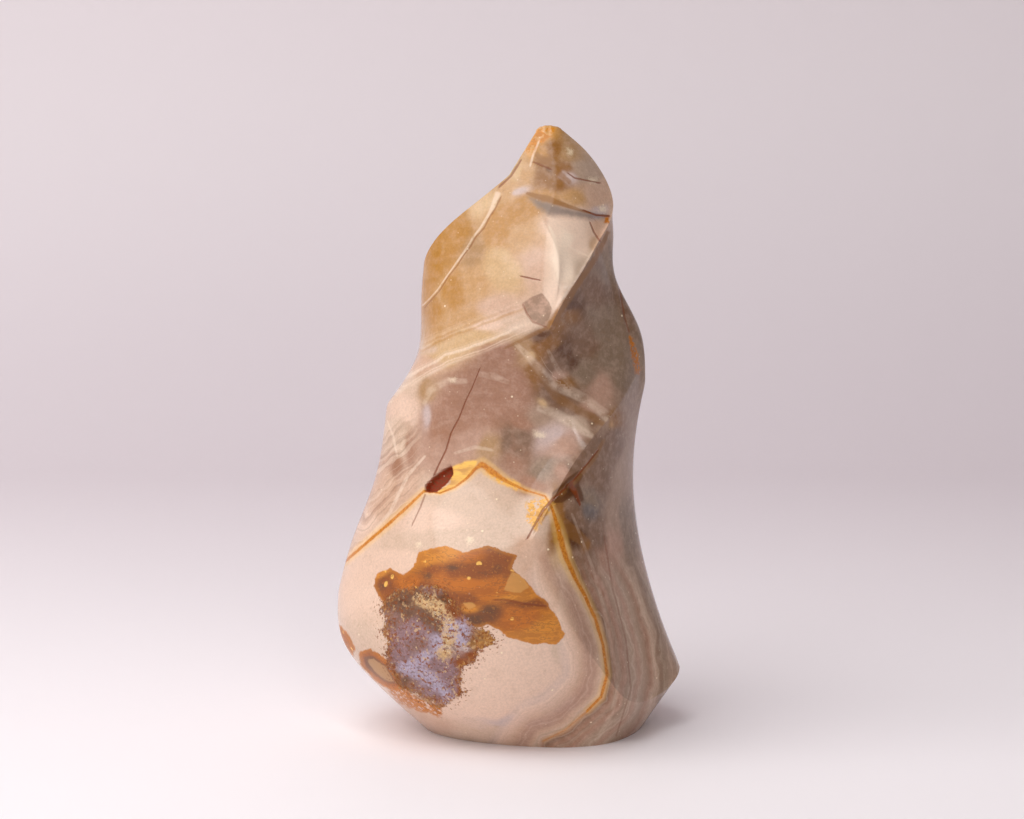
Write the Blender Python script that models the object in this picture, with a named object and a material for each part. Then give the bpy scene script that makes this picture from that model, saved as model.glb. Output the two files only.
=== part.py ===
# A flame-shaped carving of polychrome jasper: one polished stone that stands on its flat foot.
# One keel winds up round it from a corner near the foot to the tip, with hollow flutes between.
import bpy
import bmesh
from math import exp, pi
from mathutils import Vector

MM = 0.001
HEIGHT = 0.120            # foot to tip
DETAIL = 3                # rounds of smoothing
TRIANGLES = 9200          # what the smoothed skin is thinned to
FIT_ROUNDS = 24           # rounds of drawing the cage out to its named points
FIT_PULL = 1.6            # share of the miss that each round takes out

CRISP = 1.0               # keel ground to an edge
KEEN = 0.72               # keel with a small polished radius
SOFT = 0.5                # keel rubbed down to a swell

# Each row runs from the left side across the front to the right side, then three points behind.
# Distances in millimetres: x to the right, y away from the front, z up.
FOOT = [(-17.1, 1, 0), (-13.8, -8.3, 0), (-6.5, -13.6, 0), (2, -16.7, 0), (10, -17.9, 0),
        (18.5, -15.5, 0), (24.7, -7.5, 0), (26.9, 3, 0), (21, 14, 0), (4, 19, 0), (-11, 13, 0)]
HEEL = [(-21.9, 0, 5.2), (-20, -12.5, 6.5), (-11, -21.5, 7.5), (3, -25, 9.5), (19, -22, 15.2),
        (23.6, -17, 9.2), (29.7, -6.5, 7.7), (34.2, 2, 11.2), (27, 17, 13.5), (5, 25.5, 17), (-20, 19, 21)]
BELLY_LOW = [(-29.5, 0, 12.3), (-26, -15.5, 15.5), (-15, -25.5, 17.5), (0, -29, 20), (12.5, -26.3, 25),
             (18.3, -18.5, 24), (24, -8.5, 25), (28.8, 3, 26), (21, 17, 29), (2, 23.5, 32), (-19, 17, 35)]
BELLY_HIGH = [(-33.6, 1, 19), (-28, -15, 24), (-16, -26, 28), (-3, -29, 32), (7.6, -26.5, 34.5),
              (13.7, -19.8, 41), (20, -10, 45), (24.6, 3, 47), (20, 13, 50.5), (0, 19.5, 51), (-16, 14, 51.5)]
LOW_KEEL = [(-33.8, 2, 27), (-26.1, -13, 32.4), (-14, -24, 38.2), (-4, -26, 40.8), (4, -25, 42.4),
            (12.1, -19, 56.2), (20, -11, 65), (26, 2, 72.3), (24.1, 9.5, 66), (3, 19.5, 68), (-16, 14, 66)]
FLUTE_LOW = [(-30.6, 2, 38), (-25.5, -10, 44), (-15.5, -15.8, 49.3), (-4, -18.2, 52.6), (4.5, -18, 54.6),
             (12.5, -14, 65.7), (19.5, -7.5, 72.8), (23.2, -2, 80), (24.3, 6, 78.5), (5, 16.5, 77), (-13, 12, 75)]
FLUTE_HIGH = [(-26.3, 2, 49.5), (-21.5, -8.3, 57.8), (-13, -13.2, 63.1), (-3.5, -15.3, 67), (5.5, -15.6, 69),
              (12.2, -12.8, 77.1), (17.5, -8, 84.8), (19.9, -3, 89.5), (19.4, 4, 89), (4, 14.5, 86), (-11, 11, 84)]
MID_KEEL = [(-24, 0, 64.8), (-17.8, -9.5, 70.8), (-9, -15.8, 76), (0, -18.5, 80.2), (7.7, -20, 83),
            (10.4, -19.2, 88.2), (14.5, -15, 94.2), (17.3, -11, 98.8), (19.4, 1, 97.5), (6, 12, 95), (-9, 9, 92.5)]
BROW_LOW = [(-18.3, 2, 74), (-15, -9, 81), (-8.5, -13.5, 86), (0, -16, 90), (9, -16, 96.7),
            (11.5, -13.2, 98.9), (16, -8.4, 101.4), (20.3, -1, 105), (17.5, 5, 104), (7, 9, 102), (-5, 6, 99.5)]
BROW_HIGH = [(-17.2, 3, 83), (-14.8, -6.5, 89.5), (-7.5, -9.8, 96), (-0.5, -11, 101), (4.6, -9, 106.4),
             (9, -8.2, 108), (13.5, -5, 110.5), (16.6, 1, 113), (14, 3.5, 112), (8, 5, 110.5), (1, 2.5, 107.5)]
TIP_KEEL = [(-16.4, 2, 91), (-14.2, -4, 98.3), (-6.2, -6, 105.8), (0, -5, 110.8), (5.8, 0, 119.6),
            (8.4, 0, 120), (10.3, 0.5, 119.1), (12.1, 1, 117.6), (11, 3, 116.5), (8, 3.5, 116.5), (3.5, 0.5, 114)]
ROWS = [FOOT, HEEL, BELLY_LOW, BELLY_HIGH, LOW_KEEL, FLUTE_LOW, FLUTE_HIGH, MID_KEEL,
        BROW_LOW, BROW_HIGH, TIP_KEEL]
FRONT = 8                 # points of a row that lie across the front
BEND = 4                  # column where the keel bends
LIFT = 3                  # rows the keel climbs in one turn
# Points low on the back, where the rows run out into the foot.
HEEL_BACK = [(4.5, 24, 8), (-16, 16, 6), (-21, 18.5, 13)]

# Pit worn into the front over the low keel: a wedge of this outline, sunk square to the skin.
PIT_CENTRE = (-13.8, -17, 52.8)
PIT_OUTLINE = [(2.5, 2.6), (2.9, 1.2), (2.2, -0.4), (0, -1.9), (-2.2, -2.1), (-2.8, -1.1), (-1.6, 0.4), (0.4, 1.6)]
PIT_REACH = 2.5 * MM                 # how far the wedge stands out of the skin
PIT_DEPTH = 2 * MM
PIT_NARROWING = 0.72

# Shallow hollow of small crystals in the belly: lobes as centre x and z, then half width and half height.
HOLLOW_LOBES = [(-16.5, 27.5, 7.5, 5.5), (-15, 22, 9, 6), (-13.5, 16.5, 6.5, 5)]
HOLLOW_DEPTH = 0.6 * MM
HOLLOW_RIM = 0.5                     # lobe strength at which the rim starts
HOLLOW_SLOPE = 0.45

SHARP_OVER = 30 * pi / 180           # skin edges that turn by more than this stay sharp

STONE_COLOUR = (0.60, 0.45, 0.37, 1.0)
STONE_ROUGHNESS = 0.26


def clear_scene():
    for thing in list(bpy.data.objects):
        bpy.data.objects.remove(thing, do_unlink=True)


def index(row, column):
    return row * len(FOOT) + column


def turn_end(row):
    """The front point that the back of a row runs into, further up the left side."""
    top = len(ROWS) - 1
    if row + LIFT <= top:
        return index(row + LIFT, 0)
    return index(top, row + LIFT - top)


def row_loop(row):
    front_right = index(row, FRONT - 1)
    behind = [index(row, column) for column in range(FRONT, len(FOOT))]
    return [front_right] + behind + [turn_end(row)]


def cage_faces():
    faces = []
    for row in range(len(ROWS) - 1):
        for column in range(FRONT - 1):
            faces.append((index(row, column), index(row, column + 1),
                          index(row + 1, column + 1), index(row + 1, column)))
    for row in range(1, len(ROWS) - 1):
        lower, upper = row_loop(row), row_loop(row + 1)
        for k in range(len(lower) - 1):
            faces.append((lower[k], lower[k + 1], upper[k + 1], upper[k]))
    faces += heel_back_faces()
    foot = [index(0, column) for column in range(len(FOOT))]
    faces.append(tuple(reversed(foot)))
    top = len(ROWS) - 1
    faces.append((index(top, 4), index(top, 5), index(top, 6), index(top, 7),
                  index(top, 8), index(top, 9), index(top, 10), index(top, 3)))
    return faces


def heel_back_faces():
    right, one, two, three = [index(0, column) for column in range(FRONT - 1, FRONT + 3)]
    up_right, up_one, up_two, up_three, up_left = row_loop(1)
    mid_two, mid_low, mid_high = [len(ROWS) * len(FOOT) + k for k in range(3)]
    left = [index(row, 0) for row in range(4)]
    return [(right, one, up_one, up_right),
            (one, two, mid_two), (one, mid_two, up_two, up_one),
            (two, three, mid_low, mid_two), (mid_two, mid_low, mid_high), (mid_two, mid_high, up_three, up_two),
            (three, left[0], left[1], mid_low), (mid_low, left[1], left[2]),
            (mid_low, left[2], left[3], mid_high), (mid_high, left[3], up_left, up_three)]


def keel_edges():
    """Creased edges of the cage and how keen each one is."""
    keels = {}

    def run(points, keenness):
        for a, b in zip(points, points[1:]):
            keels[frozenset((a, b))] = keenness

    foot = [index(0, column) for column in range(len(FOOT))]
    run(foot + [foot[0]], CRISP)
    run([index(1, c) for c in range(BEND, FRONT)], CRISP)
    run(row_loop(1), KEEN)
    run([index(4, c) for c in range(0, BEND + 1)], SOFT)
    run([index(4, c) for c in range(BEND, FRONT)], CRISP)
    run(row_loop(4), KEEN)
    run([index(7, c) for c in range(0, BEND + 1)], KEEN)
    run([index(7, c) for c in range(BEND, FRONT)], CRISP)
    run(row_loop(7)[1:], SOFT)
    run([index(10, c) for c in range(0, BEND + 1)], CRISP)
    run([index(r, BEND) for r in (0, 1)], SOFT)
    run([index(r, BEND) for r in (1, 2, 3)], KEEN)
    run([index(3, BEND), index(4, BEND)], SOFT)
    run([index(7, BEND), index(8, BEND)], SOFT)
    run([index(r, BEND) for r in (8, 9, 10)], KEEN)
    run([index(r, FRONT - 1) for r in (4, 5, 6, 7)], KEEN)
    run([index(r, FRONT - 1) for r in (7, 8, 9, 10)], CRISP)
    run([index(10, c) for c in (4, 5, 6, 7, 8, 9, 10, 3)], CRISP)
    run([index(10, 3), index(10, 4)], CRISP)
    return keels


def cage_mesh(points, faces, keels):
    mesh = bpy.data.meshes.new("cage")
    mesh.from_pydata(points, [], faces)
    mesh.update()
    crease = mesh.attributes.new("crease_edge", "FLOAT", "EDGE")
    for edge in mesh.edges:
        crease.data[edge.index].value = keels.get(frozenset(edge.vertices), 0.0)
    return mesh


def add_smoothing(obj, levels):
    smooth = obj.modifiers.new("smoothing", "SUBSURF")
    smooth.levels = levels
    smooth.render_levels = levels
    smooth.use_limit_surface = True
    smooth.use_creases = True
    return smooth


def draw_out_cage(obj, targets):
    """Move the cage's points until its smoothed skin passes through the named points."""
    for _ in range(FIT_ROUNDS):
        skin = skin_of(obj, "trial")
        misses = [target - skin.vertices[k].co for k, target in enumerate(targets)]
        bpy.data.meshes.remove(skin)
        for k, miss in enumerate(misses):
            obj.data.vertices[k].co += miss * FIT_PULL
        obj.data.update()


def skin_of(obj, name):
    """The evaluated surface of an object, as a new mesh of its own."""
    graph = bpy.context.evaluated_depsgraph_get()
    graph.update()
    mesh = bpy.data.meshes.new_from_object(obj.evaluated_get(graph), depsgraph=graph)
    mesh.name = name
    return mesh


def hollow_depth(x, z):
    """How far the crystal hollow sinks at a point of the front, from none at its rim to its full depth."""
    fill = 0.0
    for cx, cz, wide, tall in HOLLOW_LOBES:
        fill += exp(-((x - cx) / wide) ** 2 - ((z - cz) / tall) ** 2)
    rise = min(1.0, max(0.0, (fill - HOLLOW_RIM) / HOLLOW_SLOPE))
    return HOLLOW_DEPTH * rise * rise * (3 - 2 * rise)


def sink_hollow(mesh):
    sunk = []
    for vertex in mesh.vertices:
        depth = hollow_depth(vertex.co.x / MM, vertex.co.z / MM) if vertex.co.y < 0 else 0.0
        sunk.append(vertex.co - vertex.normal * depth)
    for vertex, place in zip(mesh.vertices, sunk):
        vertex.co = place


def pit_tool(stone):
    """A wedge that narrows inward, set square to the skin over the pit."""
    _, centre, out, _ = stone.closest_point_on_mesh(Vector(PIT_CENTRE) * MM)
    side = Vector((0, 0, 1)).cross(out).normalized()
    up = out.cross(side)
    work = bmesh.new()
    rings = []
    for height, size in ((PIT_REACH, 1.0), (-PIT_DEPTH, PIT_NARROWING)):
        ring = []
        for across, along in PIT_OUTLINE:
            ring.append(work.verts.new(centre + (side * across + up * along) * MM * size + out * height))
        rings.append(ring)
    count = len(PIT_OUTLINE)
    for k in range(count):
        after = (k + 1) % count
        work.faces.new((rings[0][k], rings[0][after], rings[1][after], rings[1][k]))
    work.faces.new(rings[0])
    work.faces.new(rings[1])
    bmesh.ops.recalc_face_normals(work, faces=work.faces)
    mesh = bpy.data.meshes.new("pit_tool")
    work.to_mesh(mesh)
    work.free()
    tool = bpy.data.objects.new("pit_tool", mesh)
    bpy.context.scene.collection.objects.link(tool)
    return tool


def thin_out(obj):
    """Thin the smooth skin to the triangle limit and leave every point of the keels in place."""
    keels = obj.vertex_groups.new(name="keels")
    creases = obj.data.attributes["crease_edge"].data
    held = {k for edge in obj.data.edges if creases[edge.index].value > 0 for k in edge.vertices}
    keels.add(sorted(held), 1.0, "REPLACE")
    thin = obj.modifiers.new("thinning", "DECIMATE")
    thin.vertex_group = keels.name
    thin.invert_vertex_group = True
    thin.decimate_type = "COLLAPSE"
    thin.ratio = TRIANGLES / (2 * len(obj.data.polygons))
    thin.use_collapse_triangulate = True


def cut_pit(obj, tool):
    cut = obj.modifiers.new("pit", "BOOLEAN")
    cut.operation = "DIFFERENCE"
    cut.solver = "EXACT"
    cut.object = tool


def stone_material():
    material = bpy.data.materials.new("polychrome_jasper")
    material.use_nodes = True
    surface = material.node_tree.nodes["Principled BSDF"]
    surface.inputs["Base Color"].default_value = STONE_COLOUR
    surface.inputs["Roughness"].default_value = STONE_ROUGHNESS
    surface.inputs["Metallic"].default_value = 0.0
    material.diffuse_color = STONE_COLOUR
    return material


def build_stone():
    points = [Vector(p) * MM for row in ROWS for p in row] + [Vector(p) * MM for p in HEEL_BACK]
    cage = bpy.data.objects.new("cage", cage_mesh(points, cage_faces(), keel_edges()))
    bpy.context.scene.collection.objects.link(cage)
    smooth = add_smoothing(cage, 1)
    draw_out_cage(cage, points)
    smooth.levels = smooth.render_levels = DETAIL
    stone = bpy.data.objects.new("flame_stone", skin_of(cage, "flame_stone"))
    bpy.context.scene.collection.objects.link(stone)
    bpy.data.objects.remove(cage, do_unlink=True)
    sink_hollow(stone.data)
    thin_out(stone)
    tool = pit_tool(stone)
    cut_pit(stone, tool)
    finished = skin_of(stone, "flame_stone_finished")
    stone.modifiers.clear()
    stone.data = finished
    bpy.data.objects.remove(tool, do_unlink=True)
    return stone


def settle(mesh):
    """Bring the stone to its full height, with its foot at zero and its box centred over the origin."""
    xs, ys, zs = [[vertex.co[axis] for vertex in mesh.vertices] for axis in range(3)]
    size = HEIGHT / (max(zs) - min(zs))
    middle = Vector(((max(xs) + min(xs)) / 2, (max(ys) + min(ys)) / 2, min(zs)))
    for vertex in mesh.vertices:
        vertex.co = (vertex.co - middle) * size


def finish_surface(stone):
    mesh = stone.data
    mesh.materials.clear()
    mesh.materials.append(stone_material())
    for polygon in mesh.polygons:
        polygon.use_smooth = True
        polygon.material_index = 0
    mesh.set_sharp_from_angle(angle=SHARP_OVER)


def main():
    clear_scene()
    stone = build_stone()
    settle(stone.data)
    finish_surface(stone)


main()
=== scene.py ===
from math import cos, pi, radians, sin

import bpy
import numpy as np
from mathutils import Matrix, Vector, noise as mathutils_noise


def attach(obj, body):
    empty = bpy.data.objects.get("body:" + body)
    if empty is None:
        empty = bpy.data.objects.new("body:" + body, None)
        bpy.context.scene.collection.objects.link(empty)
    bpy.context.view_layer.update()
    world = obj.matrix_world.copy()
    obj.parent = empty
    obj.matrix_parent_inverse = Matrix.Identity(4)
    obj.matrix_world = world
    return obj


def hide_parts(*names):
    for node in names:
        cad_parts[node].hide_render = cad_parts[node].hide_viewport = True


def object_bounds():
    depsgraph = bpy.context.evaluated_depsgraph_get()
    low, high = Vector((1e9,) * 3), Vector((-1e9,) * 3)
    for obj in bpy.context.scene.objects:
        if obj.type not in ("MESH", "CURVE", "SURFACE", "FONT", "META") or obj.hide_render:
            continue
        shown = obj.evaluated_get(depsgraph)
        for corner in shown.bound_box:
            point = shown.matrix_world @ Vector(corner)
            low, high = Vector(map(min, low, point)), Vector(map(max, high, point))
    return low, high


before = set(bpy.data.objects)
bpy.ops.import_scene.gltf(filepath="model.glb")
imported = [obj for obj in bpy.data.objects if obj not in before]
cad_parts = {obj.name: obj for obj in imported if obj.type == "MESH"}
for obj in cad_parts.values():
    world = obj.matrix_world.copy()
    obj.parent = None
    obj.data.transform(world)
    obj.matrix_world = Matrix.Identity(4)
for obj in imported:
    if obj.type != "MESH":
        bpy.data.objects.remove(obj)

bl_info = {
    "name": "Jasper Flame",
    "version": (1, 0, 0),
    "blender": (4, 5, 0),
    "location": "View3D > Sidebar > Jasper Flame",
    "description": "A polished flame of polychrome jasper, its crystal grit and a pale studio",
    "category": "Object",
}

CAD_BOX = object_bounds()
MM = 0.001

# The stone's cage. Each row runs from the left side across the front to the right side, then three
# points behind. Distances in millimetres: x to the right, y away from the front, z up.
FOOT = [(-17.1, 1, 0), (-13.8, -8.3, 0), (-6.5, -13.6, 0), (2, -16.7, 0), (10, -17.9, 0), (18.5, -15.5, 0),
        (24.7, -7.5, 0), (26.9, 3, 0), (21, 14, 0), (4, 19, 0), (-11, 13, 0)]
HEEL = [(-21.9, 0, 5.2), (-20, -12.5, 6.5), (-11, -21.5, 7.5), (3, -25, 9.5), (19, -22, 15.2),
        (23.6, -17, 9.2), (29.7, -6.5, 7.7), (34.2, 2, 11.2), (27, 17, 13.5), (5, 25.5, 17), (-20, 19, 21)]
BELLY_LOW = [(-29.5, 0, 12.3), (-26, -15.5, 15.5), (-15, -25.5, 17.5), (0, -29, 20), (12.5, -26.3, 25),
             (18.3, -18.5, 24), (24, -8.5, 25), (28.8, 3, 26), (21, 17, 29), (2, 23.5, 32), (-19, 17, 35)]
BELLY_HIGH = [(-33.6, 1, 19), (-28, -15, 24), (-16, -26, 28), (-3, -29, 32), (7.6, -26.5, 34.5),
              (13.7, -19.8, 41), (20, -10, 45), (24.6, 3, 47), (20, 13, 50.5), (0, 19.5, 51),
              (-16, 14, 51.5)]
LOW_KEEL = [(-33.8, 2, 27), (-26.1, -13, 32.4), (-14, -24, 38.2), (-4, -26, 40.8), (4, -25, 42.4),
            (12.1, -19, 56.2), (20, -11, 65), (26, 2, 72.3), (24.1, 9.5, 66), (3, 19.5, 68), (-16, 14, 66)]
FLUTE_LOW = [(-30.6, 2, 38), (-25.5, -10, 44), (-15.5, -15.8, 49.3), (-4, -18.2, 52.6), (4.5, -18, 54.6),
             (12.5, -14, 65.7), (19.5, -7.5, 72.8), (23.2, -2, 80), (24.3, 6, 78.5), (5, 16.5, 77),
             (-13, 12, 75)]
FLUTE_HIGH = [(-26.3, 2, 49.5), (-21.5, -8.3, 57.8), (-13, -13.2, 63.1), (-3.5, -15.3, 67),
              (5.5, -15.6, 69), (12.2, -12.8, 77.1), (17.5, -8, 84.8), (19.9, -3, 89.5), (19.4, 4, 89),
              (4, 14.5, 86), (-11, 11, 84)]
MID_KEEL = [(-24, 0, 64.8), (-17.8, -9.5, 70.8), (-9, -15.8, 76), (0, -18.5, 80.2), (7.7, -20, 83),
            (10.4, -19.2, 88.2), (14.5, -15, 94.2), (17.3, -11, 98.8), (19.4, 1, 97.5), (6, 12, 95),
            (-9, 9, 92.5)]
BROW_LOW = [(-18.3, 2, 74), (-15, -9, 81), (-8.5, -13.5, 86), (0, -16, 90), (9, -16, 96.7),
            (11.5, -13.2, 98.9), (16, -8.4, 101.4), (20.3, -1, 105), (17.5, 5, 104), (7, 9, 102),
            (-5, 6, 99.5)]
BROW_HIGH = [(-17.2, 3, 83), (-14.8, -6.5, 89.5), (-7.5, -9.8, 96), (-0.5, -11, 101), (4.6, -9, 106.4),
             (9, -8.2, 108), (13.5, -5, 110.5), (16.6, 1, 113), (14, 3.5, 112), (8, 5, 110.5),
             (1, 2.5, 107.5)]
TIP_KEEL = [(-16.4, 2, 91), (-14.2, -4, 98.3), (-6.2, -6, 105.8), (0, -5, 110.8), (5.8, 0, 119.6),
            (8.4, 0, 120), (10.3, 0.5, 119.1), (12.1, 1, 117.6), (11, 3, 116.5), (8, 3.5, 116.5),
            (3.5, 0.5, 114)]
ROWS = [FOOT, HEEL, BELLY_LOW, BELLY_HIGH, LOW_KEEL, FLUTE_LOW, FLUTE_HIGH, MID_KEEL,
        BROW_LOW, BROW_HIGH, TIP_KEEL]
HEEL_BACK = [(4.5, 24, 8), (-16, 16, 6), (-21, 18.5, 13)]
FRONT = 8                 # points of a row that lie across the front
BEND = 4                  # column where the keel bends
LIFT = 3                  # rows the keel climbs in one turn
CRISP, KEEN, SOFT = 1.0, 0.72, 0.5
FIT_ROUNDS, FIT_PULL = 24, 1.6

# The photograph's view of the cage, in pixels of its own frame.
FRAME_WIDE, FRAME_HIGH = 1024, 819
VIEW_TILT = radians(10)
VIEW_DISTANCE = 700.0     # millimetres
VIEW_SCALE = 5.073        # pixels for a millimetre at that distance
VIEW_TARGET = (0.6, 0.0, 63.9)

# Courses on the front, as points of the photograph's frame (across, down). What closes each lies
# outside the stone.
VEIN = [(341, 565), (365, 544), (385, 527), (405, 509), (424, 491), (437, 482), (452, 470), (465, 462),
        (476, 461), (484, 466), (500, 477), (525, 490), (545, 496), (552, 508), (557, 525), (561, 540),
        (570, 568), (583, 592), (595, 618), (603, 645), (607, 675), (601, 697), (585, 713), (565, 730),
        (543, 741)]
VEIN_CLOSING = [(500, 800), (300, 800), (250, 620)]
MID_RIDGE = [(380, 405), (415, 385), (450, 366), (490, 351), (533, 333), (549, 325), (600, 250), (625, 215)]
MID_RIDGE_CLOSING = [(700, 900), (200, 900), (250, 480)]

# Patches of the front: each name's outlines, as points of the photograph's frame (across, down).
PATCHES = {
    "stain": [    # the iron stain over the belly, and small ones at the rims
        [(374, 586), (376, 574), (390, 568), (404, 575), (414, 566), (418, 553), (430, 548), (445, 546),
         (463, 552), (488, 545), (503, 551), (517, 555), (511, 568), (526, 581), (534, 591), (548, 603),
         (557, 618), (566, 636), (556, 644), (532, 644), (508, 637), (498, 630), (488, 625), (476, 628),
         (462, 622), (430, 610), (400, 612), (384, 606)],
        [(334, 620), (347, 632), (355, 648), (352, 662), (343, 656), (334, 640)],
        [(359, 652), (371, 648), (390, 661), (402, 680), (402, 690), (390, 690), (374, 680), (360, 665)],
        [(604, 216), (610, 216), (610, 223), (604, 223)],
    ],
    "druse": [    # the hollow lined with crystals
        [(386, 600), (397, 590), (412, 588), (426, 585), (442, 589), (454, 601), (464, 616), (476, 627),
         (489, 632), (497, 641), (480, 649), (474, 661), (462, 667), (463, 674), (459, 683), (464, 693),
         (450, 701), (441, 707), (428, 702), (412, 693), (399, 686), (391, 672), (385, 656), (389, 640),
         (381, 630), (386, 618), (381, 609)],
    ],
    "gold": [    # the yellow lens by the pit
        [(451, 467), (466, 461), (478, 460), (474, 470), (465, 481), (453, 489), (440, 494), (436, 492),
         (450, 483)],
    ],
    "blood": [    # the dark pit
        [(452, 465), (453, 474), (447, 483), (436, 492), (425, 492), (425, 485), (433, 477), (444, 469)],
    ],
    "brown": [    # brown marks beside the vein
        [(553, 492), (561, 484), (570, 476), (579, 470), (583, 476), (579, 484), (585, 502), (577, 503),
         (573, 495), (562, 503), (551, 504)],
    ],
    "oval": [    # the small ring left of the druse
        [(364, 657), (371, 655), (384, 664), (397, 682), (391, 686), (376, 676), (366, 666)],
    ],
    "heart": [    # its pale inside
        [(368, 659), (373, 659), (385, 667), (394, 681), (389, 682), (377, 674), (369, 665)],
    ],
    "slate": [    # the blue grey seam under the tip
        [(528, 196), (538, 199), (550, 203), (566, 207), (586, 212), (608, 216), (607, 219), (588, 218),
         (566, 216), (548, 215), (538, 207)],
    ],
    "pale": [    # light islands in the stain
        [(504, 590), (508, 579), (512, 572), (522, 575), (529, 587), (521, 592), (512, 592)],
        [(463, 603), (473, 602), (477, 606), (469, 610)],
    ],
    "flecks": [    # pale flecks; the two on the shoulder over the belly are painted glints
        [(533, 431), (545, 433), (544, 438), (535, 437)],
        [(449, 378), (456, 378), (455, 382), (450, 382)],
        [(567, 148), (573, 150), (572, 155), (568, 154)],
        [(588, 178), (597, 178), (596, 183), (590, 183)],
        [(599, 206), (606, 207), (605, 212), (600, 211)],
        # painted glints on the shoulder over the belly
        [(466, 538), (472, 536), (474, 541), (468, 544)],
        [(416, 543), (421, 542), (421, 546), (417, 547)],
    ],
    "dust": [    # places dusted with the stain's colours
        [(527, 150), (532, 138), (541, 121), (556, 126), (553, 134), (541, 144), (533, 154)],
        [(385, 682), (400, 684), (420, 699), (442, 706), (440, 717), (415, 710), (395, 702)],
        [(526, 502), (545, 496), (556, 504), (548, 514), (536, 530), (527, 520)],
        [(629, 336), (634, 340), (638, 352), (641, 374), (636, 374), (631, 352)],
        [(488, 468), (500, 474), (520, 484), (516, 490), (498, 482), (486, 474)],
    ],
    "facet": [    # the pale face beside the upper ridge: cream of its own, partly painted sheen
        [(548, 217), (590, 221), (596, 234), (600, 242), (590, 258), (572, 286), (553, 313), (546, 303),
         (543, 285), (545, 250)],
    ],
    "chip": [    # the broken corner of the middle ridge
        [(522, 303), (531, 297), (542, 293), (549, 302), (552, 309), (546, 326), (534, 322), (526, 313)],
    ],
    "clumps": [    # tan crystals in the druse
        [(411, 590), (428, 594), (444, 604), (454, 620), (457, 636), (452, 656), (442, 662), (434, 655),
         (441, 640), (437, 622), (424, 610), (410, 602)],
    ],
    "triangle": [    # the brown wedge right of the vein
        [(559, 513), (576, 526), (591, 541), (587, 549), (577, 543), (565, 536)],
    ],
}

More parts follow.
